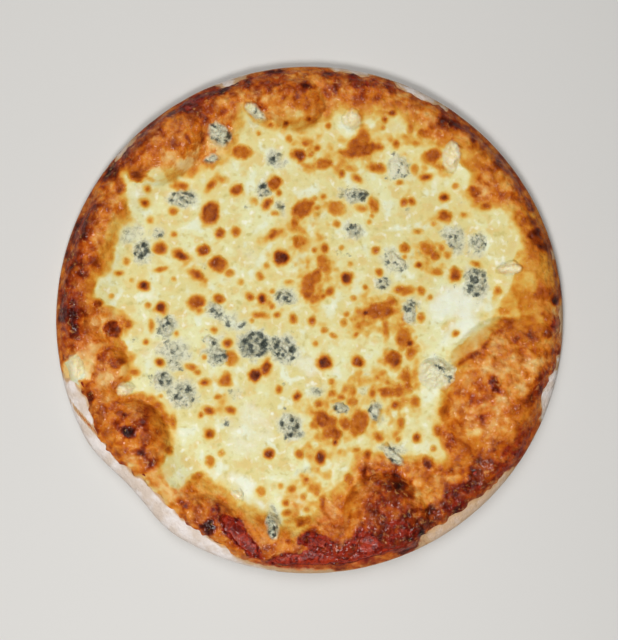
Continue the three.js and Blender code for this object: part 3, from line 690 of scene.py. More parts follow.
# Browned spots of the cheese inside the rim: x, y, length, width, turn, browning.
SPOTS = [
    # middle
    (-17, 37, 10, 8, 0, .95), (-25, 32, 3, 3, 0, .55), (-22, 50, 13, 5, 25, .72), (-6, 46, 7, 8, 0, .62),
    (-44, 52, 5, 5, 0, .68), (3, 41, 3, 3, 0, .6), (9, 42, 4, 5, 0, .72), (19, 43, 2.5, 2.5, 0, .5),
    (39, 41, 4, 4, 0, .7), (7, 35, 7, 8, -40, .62), (9, 31, 8, 6, -40, .6), (2, 25, 12, 8, 40, .68),
    (-1, 18, 9, 12, 10, .66), (3, 13, 6, 6, 0, .6), (-29, 26, 4, 5, 0, .65), (-41, 22, 3.5, 3.5, 0, .55),
    (-12, 22, 5, 3, 0, .5), (24, 33, 3, 3, 0, .5), (41, 28, 3.5, 3.5, 0, .66), (33, 19, 2.5, 2.5, 0, .58),
    (22, 24.5, 7, 7, 45, .82), (12, 17, 5, 4, 40, .75), (8, 14, 3, 3, 0, .6), (26, 13, 3, 2.5, 0, .55),
    (-35, 14, 4.5, 4.5, 0, .66), (-28, 12, 5, 6, 0, .85), (-22, 8, 3, 3, 0, .6), (-22, 17, 3, 3, 0, .5),
    (-30, 3, 8, 4, 0, .62), (-34, -.5, 2.5, 2.5, 0, .5), (-19, 3, 3, 3, 0, .68), (-10, 1, 4.5, 5, 0, .8),
    (1.5, -.5, 4, 5.5, 0, .72), (22, 3.5, 3, 3, 0, .52), (20.5, -1.5, 4, 4, 0, .5), (9, -6, 4, 3, 0, .55),
    (14, -9, 4, 2, -35, .5), (3.5, -14, 2.5, 2.5, 0, .5), (33, 4, 3, 3, 0, .85), (42, 5, 20, 10, 0, .7),
    (48, 10, 10, 6, 20, .66), (45, -6, 4, 12, 0, .62), (33, -2, 8, 5, 0, .52), (29, -3, 3, 5, 0, .6),
    (27.5, -8.5, 2.5, 2.5, 0, .6), (55, -11, 9, 14, 0, .66), (59, -14, 3.5, 3.5, 0, 1),
    (60, -19, 7, 8, 0, .62), (49, -23, 10, 9, -30, .72), (51, -25, 4, 4, 0, .82), (9, -25, 7, 7, 0, .9),
    (28.5, -24, 6, 7, 40, .88), (-32, -32.5, 7, 7, 0, .86), (-25.5, -28, 5, 8, -20, .8),
    (-48, -13.5, 5, 5, 0, .8), (-46, -22, 8, 9, 0, .55), (-50, -35.5, 8, 8, 0, .72),
    (-18, -41, 4, 4, 0, .66), (-7.5, -45, 4.5, 5, 0, .82), (13, -37, 3, 3, 0, .55),
    (13, -43.5, 5, 4, 0, .62), (21, -41, 5, 5, 0, .55), (19, -45.5, 4, 3, 0, .62), (25, -42, 5, 6, 0, .55),
    (37, -43.5, 4, 6, 0, .64), (5, -49.5, 5, 4, 0, .6), (43, -31.5, 4, 4, 0, .58), (46, -37, 4, 4, 0, .58),
    (46, -42, 10, 7, 0, .68), (53, -42, 6, 8, 0, .68), (51, -50, 5, 5, 0, .78), (57, -35, 6, 14, 10, .64),
    (55, 17.5, 12, 5, 0, .66), (66, 17, 5, 5, 0, .6),
    # left
    (-88, 42.5, 7, 6, -40, .76), (-76, 38, 9, 5, -25, .85), (-63, 41, 6.5, 6.5, 0, .78),
    (-53.5, 33, 9.5, 9, 0, .78), (-47, 27.5, 5, 4, 0, .55), (-80, 50.5, 2.5, 2.5, 0, .66),
    (-53, 51, 4.5, 4.5, 0, .8), (-108, 34.5, 4.5, 4.5, 0, .56), (-112.5, 27.5, 4, 2.5, 0, .62),
    (-88, 30, 6, 2.5, 10, .58), (-66, 26.5, 9, 5, -35, .76), (-105, 23.5, 3, 3, 0, .52),
    (-80, 24, 2.5, 2.5, 0, .5), (-98, 20.5, 5.5, 5.5, 0, .9), (-117, 14, 2.5, 2.5, 0, .5),
    (-124.5, 9.5, 5.5, 5.5, 0, .88), (-95, 8.5, 3, 3, 0, .52), (-87.5, 7, 7, 6.5, 0, .86),
    (-67, 10, 10, 8, 15, .72), (-53.5, 13, 5.5, 5, 0, .7), (-65, 6, 4, 4, 0, .62), (-93, -3, 3, 5, 0, .58),
    (-96.5, -13, 3, 3, 0, .7), (-78.5, -8, 2.5, 2.5, 0, .55), (-56.5, -6, 4, 4, 0, .58),
    (-62, -22, 2.5, 2.5, 0, .52), (-107, -2.5, 5, 5, 0, .72), (-116, -5, 12, 11, 0, .85),
    (-116, -22, 17, 15, 0, .7), (-88.5, -25, 5.5, 4, -25, .76), (-70, -27.5, 7, 3.5, -15, .58),
    (-66, -31, 3.5, 3, 0, .6), (-62, -37, 5.5, 4, 20, .85), (-104, -31, 6, 4, 0, .6),
    (-54.5, -45.5, 4, 3, 0, .62), (-88, -45, 2.5, 2.5, 0, .52),
    # right
    (64, 52, 6, 3, 0, .56), (56, 42.5, 5.5, 5.5, 0, .64), (70, 42, 8, 10, 0, .62), (74, 38, 7, 6, 0, .62),
    (78, 43, 4, 4, 0, .52), (64.5, 32.5, 4, 3.5, 0, .74), (75, 28.5, 7, 5, 0, .62), (86, 27, 7, 8, 0, .74),
    (98, 33, 6, 3, -20, .62), (81, 38, 4, 4, 0, .5), (56, 37, 3, 3, 0, .5), (114, 29, 5, 3, 0, .6),
    (111, 17, 4.5, 5, 0, .68), (114, 5, 8, 6, 0, .6), (86, -8, 3, 3, 0, .6), (66, 1.5, 4, 5, 0, .58),
    (71, 13.5, 2.5, 2.5, 0, .54),
    # upper left
    (-101, 85, 8, 6, 0, .86), (-95, 77, 3, 3.5, 0, .66), (-97, 69, 4.5, 3.5, 0, .8),
    (-80.5, 64, 5.5, 4, -30, .64), (-94, 59, 4, 4, 0, .58), (-58, 80, 4, 8, -40, .7),
    (-52, 83, 6, 3, -20, .62), (-43, 76.5, 7, 7, 0, .78), (-59, 63, 10, 13, -10, .78),
    (-76, 79, 9, 5, 0, .68), (-40, 99, 12, 8, 0, .7),
    # top
    (-21, 81, 8, 8, 0, .76), (-18, 75, 3, 4, 0, .58), (-33, 70, 4.5, 4, 0, .54), (-25, 68.5, 5, 6, -30, .7),
    (-20, 63, 4, 3, 0, .54), (-4, 66, 14, 9, 30, .76), (4, 66, 5, 4, 0, .62), (-9, 57, 4, 8, 0, .62),
    (8, 92, 10, 7, 25, .64), (3, 90.5, 3, 3, 0, .55), (19, 86.5, 3.5, 5, -15, .68),
    (28, 83.5, 6, 3.5, -40, .68), (39, 90, 11, 5.5, -10, .66), (31, 105.5, 9, 16, -5, .7),
    (30, 100.5, 24, 8.5, 10, .74), (27, 103, 13, 9, 30, .7), (-6.5, 97, 8, 6.5, -15, .9),
    (-2.5, 104.5, 4.5, 3, -30, .64), (4.5, 101.5, 4, 3, 20, .72), (1, 98, 5, 3, 40, .6),
    (-12, 107, 3, 3.5, 0, .6), (-30, 110, 2.5, 2.5, 0, .55), (8, 72.5, 3.5, 3, 0, .62),
    (3, 71.5, 2.5, 2.5, 0, .55), (16, 66, 11, 8, -15, .52), (31, 66, 8, 4, 0, .6), (38, 68, 6, 9, 15, .66),
    (37, 61.5, 2, 2, 0, .5), (16, 57, 3.5, 3.5, 0, .6), (35, 58, 2.5, 2.5, 0, .5),
    (44, 117.5, 3, 3, 0, .76), (48, 121, 5, 3, 0, .82), (43, 113, 2.5, 2.5, 0, .6),
    (51, 104, 3.5, 5, 0, .74), (11, 115, 3, 3.5, 0, .6), (-23, 115, 3.5, 3, 0, .72),
    (-14, 115, 5, 3, 20, .84), (0, 117.5, 6, 4, -15, .84), (56, 69.5, 5, 5, 0, .66), (60, 70, 4, 5, 0, .7),
    (53, 81, 4, 2.5, 0, .55),
    # upper right
    (59, 113, 4, 8, 0, .68), (68, 109, 9, 7, 0, .66), (62, 104, 6, 3, 0, .62), (72, 96, 10, 8, 0, .7),
    (77, 90, 8, 3, -25, .54), (69, 84.5, 7, 3.5, 10, .78), (62, 89, 4, 5, 0, .52), (86, 79, 3, 3, 0, .55),
    (87, 101, 4, 3, 0, .66), (79.5, 72, 4.5, 4.5, 0, .88), (79.5, 61, 9, 5.5, -5, .72),
    (91, 62, 5.5, 3, 0, .64), (73, 57, 3, 3, 0, .5), (98, 75.5, 10, 8, -15, .74), (104, 67, 7, 5, 0, .68),
    # lower left
    (-59, -53.5, 6.5, 4, 0, .8), (-64, -56, 2.5, 3.5, 0, .62), (-47, -53, 6, 4, -20, .68),
    (-59, -67.5, 5.5, 6, 0, .8), (-52, -78.5, 4, 4, 0, .56), (-59, -84, 5.5, 6, 0, .62),
    (-67, -93, 10, 5, 25, .66), (-81, -60, 4, 9, 0, .62), (-83, -76.5, 6, 7, 0, .66),
    # bottom
    (9, -59, 14, 9, -20, .72), (16, -67, 7, 10, 15, .76), (15, -72, 3, 3, 0, .85), (3, -62, 5, 5, 0, .6),
    (12, -66, 8, 8, 0, .68), (29, -61, 11, 16, -12, .66), (21, -61, 8, 8, 0, .66), (25, -48, 6, 5, 0, .6),
    (-24, -79, 5, 5, 0, .78), (-5.5, -79, 4.5, 4.5, 0, .7), (6.5, -80.5, 6, 9, 10, .92),
    (18, -78, 3, 3, 0, .52), (27, -77, 6, 3, 0, .54), (34.5, -79.5, 5, 6, 0, .7),
    (40.5, -69, 7, 5, -25, .7), (54, -61, 4.5, 6, 0, .68), (52, -70.5, 2.5, 2.5, 0, .62),
    (38, -52, 3, 3, 0, .56), (-1.5, -94, 3, 2.5, 0, .66), (-28.5, -101, 5, 5, 0, .56),
    (-14, -108, 3.5, 3.5, 0, .68), (-2, -112, 4, 4, 0, .62), (-6, -119.5, 7, 6, 0, .74),
    (8, -108, 5, 10, 0, .74), (24, -94, 6, 7, 0, .68), (-12, -129, 5, 5, 0, .72), (-10, -100, 5, 4, 0, .6),
    (-4, -104, 4, 4, 0, .55), (-13, -114, 5, 4, 0, .6), (-1, -118, 4, 5, 0, .66), (4, -101, 4, 6, 0, .58),
    (-17, -98, 3, 3, 0, .5),
    # lower right
    (63, -69, 4.5, 6, 0, .72), (73, -76, 3, 3, 0, .56), (70, -85.5, 10, 7, -35, .84),
    (62, -48, 5, 6, 0, .66), (76, -65, 6, 8, 0, .7), (80, -55, 8, 14, 0, .74), (84, -72, 8, 16, 15, .74),
]

# Golden haze between the browned spots: x, y, length, width, turn, share.
GOLDEN_PLACES = [
    (1, 40, 22, 48, 10, .8), (71, 38, 22, 18, 0, .9), (44, 2, 28, 20, 0, 1), (57, -32, 16, 48, 0, 1),
    (32, -38, 18, 18, 0, .8), (12, -66, 22, 22, 0, .8), (-6, -54, 14, 12, 0, 1), (0, -78, 16, 9, 0, .9),
    (45, -62, 24, 20, 0, .7), (108, 4, 26, 16, 20, .9), (3, -98, 22, 22, 0, .8), (-8, -112, 20, 22, 0, 1),
    (10, 98, 50, 16, -10, .6), (-58, 62, 14, 22, 0, .5), (-60, 90, 24, 12, 30, .6),
    (76, 90, 20, 14, -20, .5), (-70, 26, 30, 14, -30, .4), (60, 60, 20, 14, 0, .3),
    (100, 70, 16, 10, 0, .6), (-52, -50, 20, 14, 0, .35), (-62, -92, 20, 12, 20, .6),
    (-75, -12, 16, 8, 0, .3), (112, 50, 16, 30, 0, .4),
]

# Grey-green places around the lumps of blue cheese: x, y, length, width, turn, share.
MOULDY_PLACES = [
    (-33, -15, 19, 17, 0, .66), (-16, -17, 19, 16, 0, .5), (-40, -4, 12, 8, 0, .3), (-15, 13, 13, 9, 0, .5),
    (-47, 0, 12, 10, 0, .3), (43, 22, 9, 10, 0, .4), (50, 34, 18, 12, -40, .35), (25, 52, 10, 10, 0, .45),
    (58, 5, 13, 15, 0, .4), (32, -42, 16, 20, 0, .4), (5, -42, 8, 5, 0, .45), (-5, 36, 10, 12, 0, .25),
    (-45, -44, 8, 8, 0, .3), (-99, 41, 11, 12, 0, .55), (-105, 50, 20, 10, 0, .35), (-89, 50, 6, 8, 0, .45),
    (-84, -3, 12, 14, 0, .5), (-80, -20, 18, 20, -40, .45), (-86, -36, 12, 10, 0, .5),
    (-75, -43, 18, 16, 0, .45), (-54, -20, 16, 12, 0, .5), (-56, 6, 10, 10, 0, .45),
    (-56, -12, 10, 6, 0, .4), (84, 46, 14, 16, 0, .45), (99, 45, 9, 13, 0, .45), (98, 22, 13, 18, 0, .55),
    (80, -31, 14, 10, -40, .22), (62, 36, 12, 9, 0, .25), (-53, 109, 16, 14, -35, .45),
    (-58, 94, 11, 6, 15, .5), (-75, 72, 15, 12, 10, .45), (-20, 95, 9, 8, 0, .5), (-27, 76, 8, 11, 0, .5),
    (-17, 67, 6, 7, 0, .45), (27, 73, 17, 9, 0, .5), (53, 90, 14, 16, 0, .3), (-31, 119, 9, 9, -38, .35),
    (-11, -63, 13, 16, 0, .55), (19, -52, 12, 8, -15, .45), (38, -54, 12, 14, 0, .45),
    (48, -79, 18, 13, -45, .4), (-22, -121, 10, 19, 10, .5), (-2, -91, 8, 6, 0, .3),
    (-49, -61, 4, 4, 0, .3), (57, 66, 4, 4, 0, .3), (4, 62, 6, 6, 0, .4), (92, 73, 8, 8, 0, .2),
]

# Single dark flecks of mould: x, y, length, width, turn, darkness.
FLECKS = [
    # middle
    (-34, -8.5, 4, 2.5, 40, .8), (-29, -9, 3, 5, 30, .8), (-38, -13, 3, 4, -30, .7),
    (-35, -15, 3.5, 3, 30, .9), (-27, -14.5, 4.5, 6, -30, .9), (-39.5, -17, 2, 4, 0, .6),
    (-34.5, -18.5, 5, 3, 0, .75), (-28.5, -20, 6, 2.5, 10, .9), (-31, -12, 3, 3, 0, .6),
    (-36, -21, 3, 2, 0, .55), (-25.5, -17, 2.5, 3, 0, .8), (-39.5, -3.3, 4.5, 2.2, 30, 1),
    (-21.5, -10.5, 4, 2.5, 0, .6), (-18, -12.5, 2.5, 2.5, 0, .8), (-13, -12, 4, 2, -45, .6),
    (-19.5, -15.5, 3, 3, 30, .85), (-17.5, -17, 2.5, 2.5, 0, .7), (-18, -20.3, 5.5, 2.5, 0, .95),
    (-10.5, -17.5, 4, 4, -30, .95), (-9.8, -22.5, 4, 2, 30, .8), (-14, -19, 2.5, 2, 0, .5),
    (-22.5, -17, 2, 3, 0, .5), (-18.5, 14.5, 3.5, 4, -30, .75), (-14.5, 13, 4, 3, 0, .8),
    (-12.3, 11, 2.5, 3, -30, .75), (-12, 15, 2.5, 2, 0, .5), (-6.5, 20.5, 3, 1.5, -45, .65),
    (6, 18, 2, 3, 30, .5), (-10.5, 48.5, 2.5, 3, 30, .7), (9, 48.5, 2.2, 2, 0, .7),
    (16.5, 39.3, 3, 2.5, -40, .85), (23, 38.5, 3, 2, 0, .6), (22.8, 53.5, 2, 3, 0, .75),
    (25.5, 55, 4.5, 3, 20, .9), (27, 51.3, 3, 2.3, 0, .75), (45, 24, 3, 2, -30, .75),
    (41.5, 22.5, 1.8, 2.5, 0, .7), (43.5, 19, 4, 2, 0, .8), (46.5, 21, 2, 2, 0, .5),
    (46, 37.5, 2.5, 5, 0, .35), (46, 33.5, 2.5, 3.5, 0, .4), (51.5, 32.5, 5, 2.5, -40, .5),
    (53.5, 30, 3, 2.5, -40, .5), (57, 31.5, 2.5, 2.5, 0, .4), (61, 38, 3, 3, 0, .4),
    (57, 6.5, 5, 3, -20, .85), (60, 9, 3.5, 4, 0, .5), (55, 0, 2.2, 2, 0, .95), (63, 9, 3, 2, 0, .4),
    (58, -13.5, 3.5, 2, 30, .95), (47.5, -18, 2.5, 3, 20, .8), (10.8, 24, 2, 2, 0, .35),
    (-10, -7, 2.5, 2, 0, .35), (-15.5, -38.3, 2.2, 2, 0, .65), (5, -42, 5, 3, -20, .4),
    (29, -35, 3, 4, 0, .4), (32, -42, 3, 4, 0, .35), (-47, -42, 1.5, 3, 0, .5),
    (-43.5, -46, 3, 1.5, 0, .45), (-42.5, -42, 1.5, 3, 0, .4), (-48, -2.5, 3, 3.5, 20, .75),
    (64, 20, 3, 1.5, 0, .45), (57.3, 66.3, 4, 2.6, 0, .8), (57, 58, 1.5, 2, 0, .4),
    # left
    (-97.5, 44, 3, 3, 0, .9), (-96, 41, 4, 3.5, 0, .9), (-99, 37.5, 4, 3, 20, .9),
    (-102.5, 39.5, 2.5, 3, 0, .65), (-101, 43, 2.5, 2.5, 0, .55), (-87.3, 49.5, 2.2, 2.5, 0, .85),
    (-90, 49, 2, 2, 0, .5), (-90, 53, 2, 2, 0, .4), (-108.5, 52, 2.5, 2, 0, .45),
    (-84.5, 1, 2.5, 3, -30, .7), (-83.5, -2, 4, 2.5, -20, .85), (-86.5, -3.5, 2.5, 2.5, 40, .6),
    (-88.5, -7, 4, 2.5, -40, .7), (-79, -7, 3, 2, 0, .35), (-57, 6, 4, 3.5, 30, .75),
    (-54, 2.5, 4.5, 3, -40, .65), (-50, 1, 3, 2, 0, .5), (-61, -5.5, 3, 1.5, 0, .4),
    (-62.5, -12, 2, 2, 0, .6), (-56.5, -14, 3, 3, -30, .9), (-49, -18, 3, 3, 0, .65),
    (-49, -21, 4, 3, 20, .95), (-54, -22.5, 6, 4, 0, .55), (-53.5, -25.5, 4, 2, 0, .5),
    (-80.5, -19, 5, 3, -50, .5), (-85, -13, 5, 2.5, -45, .35), (-82.5, -25.5, 2.5, 4, -20, .5),
    (-76.5, -27.5, 5, 3, -45, .45), (-94, -33.5, 2.5, 5, 20, .45), (-86, -32.5, 2, 3, 0, .85),
    (-87.5, -36.5, 2.5, 3.5, 20, .85), (-83, -36.5, 3, 2.5, 0, .5), (-82.5, -42.5, 3, 2, 0, .55),
    (-76.5, -40, 4, 3, 0, .5), (-71.5, -41, 5, 3.5, 0, .8), (-77.5, -45.5, 5, 4, 0, .6),
    (-69, -47, 2.5, 2.5, 0, .55), (-73, -50, 4, 2, 20, .5), (-104, -12.5, 3, 2, 30, .5),
    (-62.5, 31, 2.5, 3, 0, .55),
    # right
    (86.5, 49, 2.5, 2, 0, .85), (83, 49, 2, 2.5, 0, .55), (84, 43, 4, 2.5, -30, .5), (81, 41, 2, 3, 0, .4),
    (99, 49.5, 2, 3, 0, .5), (97, 45.5, 2.5, 4, 20, .55), (103, 44.5, 2.5, 5, 0, .5),
    (99, 40.3, 3, 1.5, 0, .45), (89.8, 26.8, 3, 2, -45, .95), (98.5, 28.5, 4, 3, -30, .8),
    (102.5, 27.5, 2.5, 4, 0, .7), (97, 23.5, 4.5, 5, 20, .7), (94.5, 17, 3.5, 3, 0, .8),
    (98, 15.3, 3.5, 2.5, 0, .75), (85.7, 19.8, 2, 3, 0, .7), (95, 20, 3, 3, 0, .65),
    (103, 23.5, 2, 3, 0, .4), (74.5, -21.5, 2, 3.5, -20, .45), (74.5, -26.5, 3, 2.5, 0, .8),
    (77.5, -29, 5, 2.5, -30, .8), (82, -33.5, 4.5, 2.5, -20, .8), (82, -36, 2.5, 3, 0, .5),
    (86, -32, 2.5, 2.5, 0, .5), (115, 32.5, 3, 1.5, 0, .4),
    # top
    (-57, 114.5, 7, 2, -42, .85), (-51, 114.5, 5, 2.5, 20, .55), (-47.5, 108.5, 3, 5, 0, .85),
    (-54, 106, 4, 3, 20, .75), (-58, 106, 3, 4, 30, .5), (-49, 104.5, 3, 2.5, 0, .7),
    (-41.5, 114, 3, 2, 0, .5), (-61, 93.5, 3, 3, 30, .65), (-58.5, 93, 3.5, 2, 0, .8),
    (-54, 93.5, 4, 2, 30, .75), (-62, 87.5, 4, 2.5, 0, .35), (-79, 74.5, 4, 2, 20, .65),
    (-73.5, 75, 3.5, 2.5, 0, 1), (-70, 74, 4, 1.6, -30, .9), (-81.5, 70.5, 3, 3, 30, .75),
    (-75, 71.5, 4, 2.5, 30, .65), (-72, 69.5, 3, 2, 0, .5), (-76, 67.5, 5, 2.5, 0, .45),
    (-37, 126, 4, 3, 0, .35), (-31, 122.5, 2.5, 3, -30, .45), (-28.5, 116.5, 5, 3, -10, .6),
    (-22, 94.5, 3.5, 4, 30, .9), (-18, 97.5, 4, 2.5, 0, .9), (-27.5, 78.5, 3.5, 3, 0, .9),
    (-25.5, 75, 2.5, 3.5, -30, .65), (-28.5, 73, 2.5, 2.5, 0, .5), (-18, 69.5, 2, 3, -30, .75),
    (-17, 66.5, 3.5, 2.5, 30, .9), (-37, 66.5, 3.5, 2.5, 0, .45), (4.5, 62, 3, 4, -30, 1),
    (7, 63.5, 2.5, 2, 0, .75), (22.5, 77.5, 2.5, 3, -30, .65), (18.7, 73.5, 2.5, 2.5, 0, .75),
    (23, 74, 3, 2, 0, .5), (25.8, 73.3, 2.5, 3, -30, .85), (30, 73.5, 2.5, 3.5, 0, .9),
    (31.5, 71, 3, 3, 0, .95), (33.5, 74.5, 3, 2.5, 45, .7), (49.5, 98.3, 2.5, 2, 0, .95),
    (58.5, 90.5, 2.5, 4, 30, .75), (54, 92, 2, 1.5, 0, .5), (52.5, 88.5, 2, 3.5, 0, .55),
    (46, 83.5, 4, 1.5, -30, .65), (50.5, 83.5, 2, 1.5, 0, .5), (55.5, 85, 3, 2, 30, .55),
    (58, 87, 2, 3, 0, .45),
    # bottom
    (-10.5, -58.5, 2.5, 2.5, 0, .95), (-16.3, -61.5, 2.5, 3, 0, .75), (-7.3, -63, 2.5, 4, -20, .85),
    (-10, -64, 2, 2, 0, .7), (-11.5, -67.5, 4, 2.5, 20, 1), (-14, -69.5, 3, 2, 30, .9),
    (-6, -68, 2.5, 2, 0, .6), (-14.5, -51.5, 2, 2, 0, .5), (-49, -61, 2.5, 3, 0, .75),
    (-41, -63, 2, 2, 0, .4), (15, -52.3, 3, 2.5, -30, .9), (17.5, -54.5, 3, 1.5, -30, .65),
    (21.5, -54.5, 2, 2, 0, .65), (20, -49, 2.5, 1.5, 0, .55), (13, -49.5, 2, 2, 0, .45),
    (28.2, -48, 2.6, 2.2, 0, 1), (34.5, -47.5, 2.5, 2, 0, .75), (35.2, -53.5, 2.8, 2.5, 0, .95),
    (38.5, -58, 2.5, 4.5, 0, .7), (36.5, -51, 1.5, 2.5, 0, .55), (42, -52.5, 2, 2.5, 0, .45),
    (43.3, -72.8, 2.8, 2, 0, .95), (47, -74.5, 6, 1.5, -50, .7), (49.5, -78, 1.5, 3, 0, .55),
    (48, -82.8, 6, 2.5, -10, .85), (51.5, -84.5, 3, 2, -40, .75), (55, -87, 4.5, 2.8, -10, .95),
    (43, -79.3, 3, 1.5, 0, .35), (7, -70, 3, 2, 0, .45), (-3, -90, 3, 3, 0, .4),
    (-38, -91.5, 2.5, 2, 0, .4), (-34.5, -95, 2, 2, 0, .4), (-25.5, -114.5, 3, 2, -30, .65),
    (-20.3, -121.5, 2, 2.5, 0, .8), (-20.7, -125, 2.5, 2.5, 0, .85), (-23.5, -124.5, 3.5, 4, 0, .5),
    (-22, -127.5, 2.5, 3, 0, .55), (-24, -119, 3, 3, 0, .35),
]

# Milky pools in the cheese: x, y, length, width, turn, share. The last one is painted light, which
# lightens the shaded slope at the upper-left foot of the large blister on the right.
MILKY_POOLS = [
    (85, 10, 34, 24, 0, .8), (2, -26, 22, 16, 0, .7), (-14, 62, 8, 10, 0, .8), (-40, -97, 26, 12, -35, .8),
    (-30, -108, 20, 8, -40, .9), (-35, -65, 30, 34, 0, .5), (-103, 73, 12, 18, 0, .5),
    (-85, -20, 30, 20, 0, .4), (25, 112, 24, 10, 0, .4), (50, 113, 14, 10, 0, .5), (90, 92, 14, 14, 0, .4),
    (-50, 88, 20, 10, 30, .4), (-35, 38, 14, 14, 0, .4), (112, 40, 20, 20, 0, .3), (52, 88, 14, 14, 0, .6),
    (-2, 75, 12, 8, 0, .5), (118, 22, 8, 10, 0, .5), (105, 12, 10, 10, 0, .3), (71, -32, 24, 30, 0, .5),
    # Painted light on the shaded slope at the foot of the large blister.
    (87, -7, 30, 14, 40, .9),
]

# Directions in which the outlines of the CAD lumps are measured.
WAYS = np.linspace(-math.pi, math.pi, 73)[:-1]


def lump_outline(node):
    """Middle of a CAD lump, and the radius of its outline in each of WAYS, in mm."""
    points = np.array([v.co[:2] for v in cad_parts[node].data.vertices]) / MM
    middle = (points.max(0) + points.min(0)) / 2
    reach = ((points - middle) @ np.stack([np.cos(WAYS), np.sin(WAYS)])).max(0)
    facing = np.cos(WAYS[:, None] - WAYS[None, :])
    return middle, np.where(facing > 0.1, reach / np.maximum(facing, 0.1), 1e9).min(1)


def inside_lump(x, y, outline):
    """How far in mm each point is inside a lump's outline."""
    middle, radius = outline
    dx, dy = x - middle[0], y - middle[1]
    return np.interp(np.arctan2(dy, dx), WAYS, radius, period=2 * math.pi) - np.hypot(dx, dy)


outlines = {node: lump_outline(node) for node in BLUE_LUMPS + SOFT_LUMPS}


def cheese_thickness(x, y):
    pooling = np.sin(2 * math.pi * x / 69) * np.cos(2 * math.pi * y / 82)
    pooled = CHEESE_THICKNESS + CHEESE_UNEVENNESS * pooling
    thin = rise(np.hypot(x, y), 90, CREST_RADIUS)
    return pooled + (RIM_CHEESE_THICKNESS - pooled) * thin


def cheese_level(x, y):
    """The cheese's upper face before its own bubbles and browned spots."""
    return dough_top(x, y) + SAUCE_THICKNESS + 2 * GAP + cheese_thickness(x, y)


def cheese_edge(angle):
    ragged = 0.9 * lumps(150 * angle, 0 * angle, 7, 41) + 0.5 * lumps(150 * angle, 0 * angle, 2.5, 42)
    drawn = set_back(angle) + drawn_in(angle, BARE_SAUCE)
    fringe = 1.3 * lumps(150 * angle, 0 * angle, 3, 55) * rise(set_back(angle), 0, 4)
    return dough_edge(angle) - CHEESE_MARGIN - drawn + ragged + fringe


def bare_share(x, y):
    """1 where the cheese is drawn back from the sauce."""
    wobble = 0.9 * lumps(x, y, 4, 43) + 0.5 * lumps(x, y, 1.8, 44)
    value = np.zeros_like(x)
    for mark in DRAWN_BACK:
        value = np.maximum(value, rise(inside(x, y, (*mark, 0)) + wobble, -0.6, 0.8))
    return value


def cheese_top(x, y, inward):
    depth = rim_depth(x, y)
    baked = rise(depth, 0, 4)
    relief = 0.25 * lumps(x, y, 9, 45) + 0.2 * lumps(x, y, 4, 46) + 0.1 * lumps(x, y, 1.8, 47)
    relief = relief + baked * (0.8 * bubbles(x, y, 9, 48) + 0.6 * bubbles(x, y, 4, 49) - 0.4)
    relief = relief + baked * 0.2 * lumps(x, y, 1.8, 50)
    for spot in SPOTS:
        relief = relief + 0.45 * spot[5] * rise(inside(x, y, spot), -0.3, 1.3)
    for mark in RIM_MARKS:
        if mark[5] > 0.85:
            relief = relief - 0.5 * rise(inside(x, y, mark), -0.5, 1.5)
    for outline in outlines.values():
        relief = relief + 0.5 * rise(inside_lump(x, y, outline), -2.5, 0)
    for cx, cy, width in SMALL_CRUMBS:
        relief = relief + 1.2 * rise(inside(x, y, (cx, cy, width, width, 0)) + lumps(x, y, 1.5, 51), -0.5, 1)
    full = cheese_level(x, y) + relief
    lip = 1 - (1 - np.clip(inward / CHEESE_LIP, 0, 1)) ** 2
    level = dough_top(x, y) - SEAM + (full - dough_top(x, y) + SEAM) * lip
    bare = bare_share(x, y)
    return level + (dough_top(x, y) + BARE_LEVEL - level) * np.where(inward > 0.5, bare, 0)


def cheese_face(x, y):
    """The cheese's upper face, on which the lumps lie."""
    return cheese_top(x, y, cheese_edge(np.arctan2(y, x)) - np.hypot(x, y))


def cheese_bottom(x, y, inward):
    return dough_top(x, y) + CHEESE_UNDERSIDE


def browning(x, y):
    """Browning of the sheet: the rim, the spots and the haze round them."""
    wobble = uneven_edge(x, y)
    value = rim_browning(x, y)
    glow = 0.56 * marked(x, y, GOLDEN_PLACES, -6, 5, 2 * wobble)
    for spot in SPOTS:
        size = min(spot[2], spot[3])
        depth = inside(x, y, spot) + 0.3 + wobble * min(1, size / 6)
        edge = 0.34 * spot[5] + 0.13
        middle = min(spot[5], 0.6 + 0.3 * spot[5])
        within = edge + (middle - edge) * np.clip(depth / min(1.7, 0.4 * size), 0, 1) ** 0.8
        value = np.maximum(value, np.where(depth > 0, within, 0.06 + (edge - 0.06) * np.exp(depth / 2.2)))
        glow += 0.46 * spot[5] * np.exp(-np.maximum(0, -depth) / 5)
    glow = np.clip(glow - 0.12, 0, 1)
    return np.maximum(value, glow * (0.34 + 0.14 * lumps(x, y, 5, 26) + 0.1 * lumps(x, y, 2.2, 54)))


def mould_fields(x, y):
    """Grey-green share and dark flecks, which lumps and sheet share so that the mould runs across them."""
    wobble = 1.2 * lumps(x, y, 4, 61) + 0.5 * lumps(x, y, 1.8, 62)
    small = 0.45 * lumps(x, y, 1.6, 63) + 0.25 * lumps(x, y, 0.9, 64)
    return {
        "mouldy": marked(x, y, MOULDY_PLACES, -4, 2, 1.6 * wobble),
        "flecked": marked(x, y, FLECKS, -1.0, 1.1, small),
    }


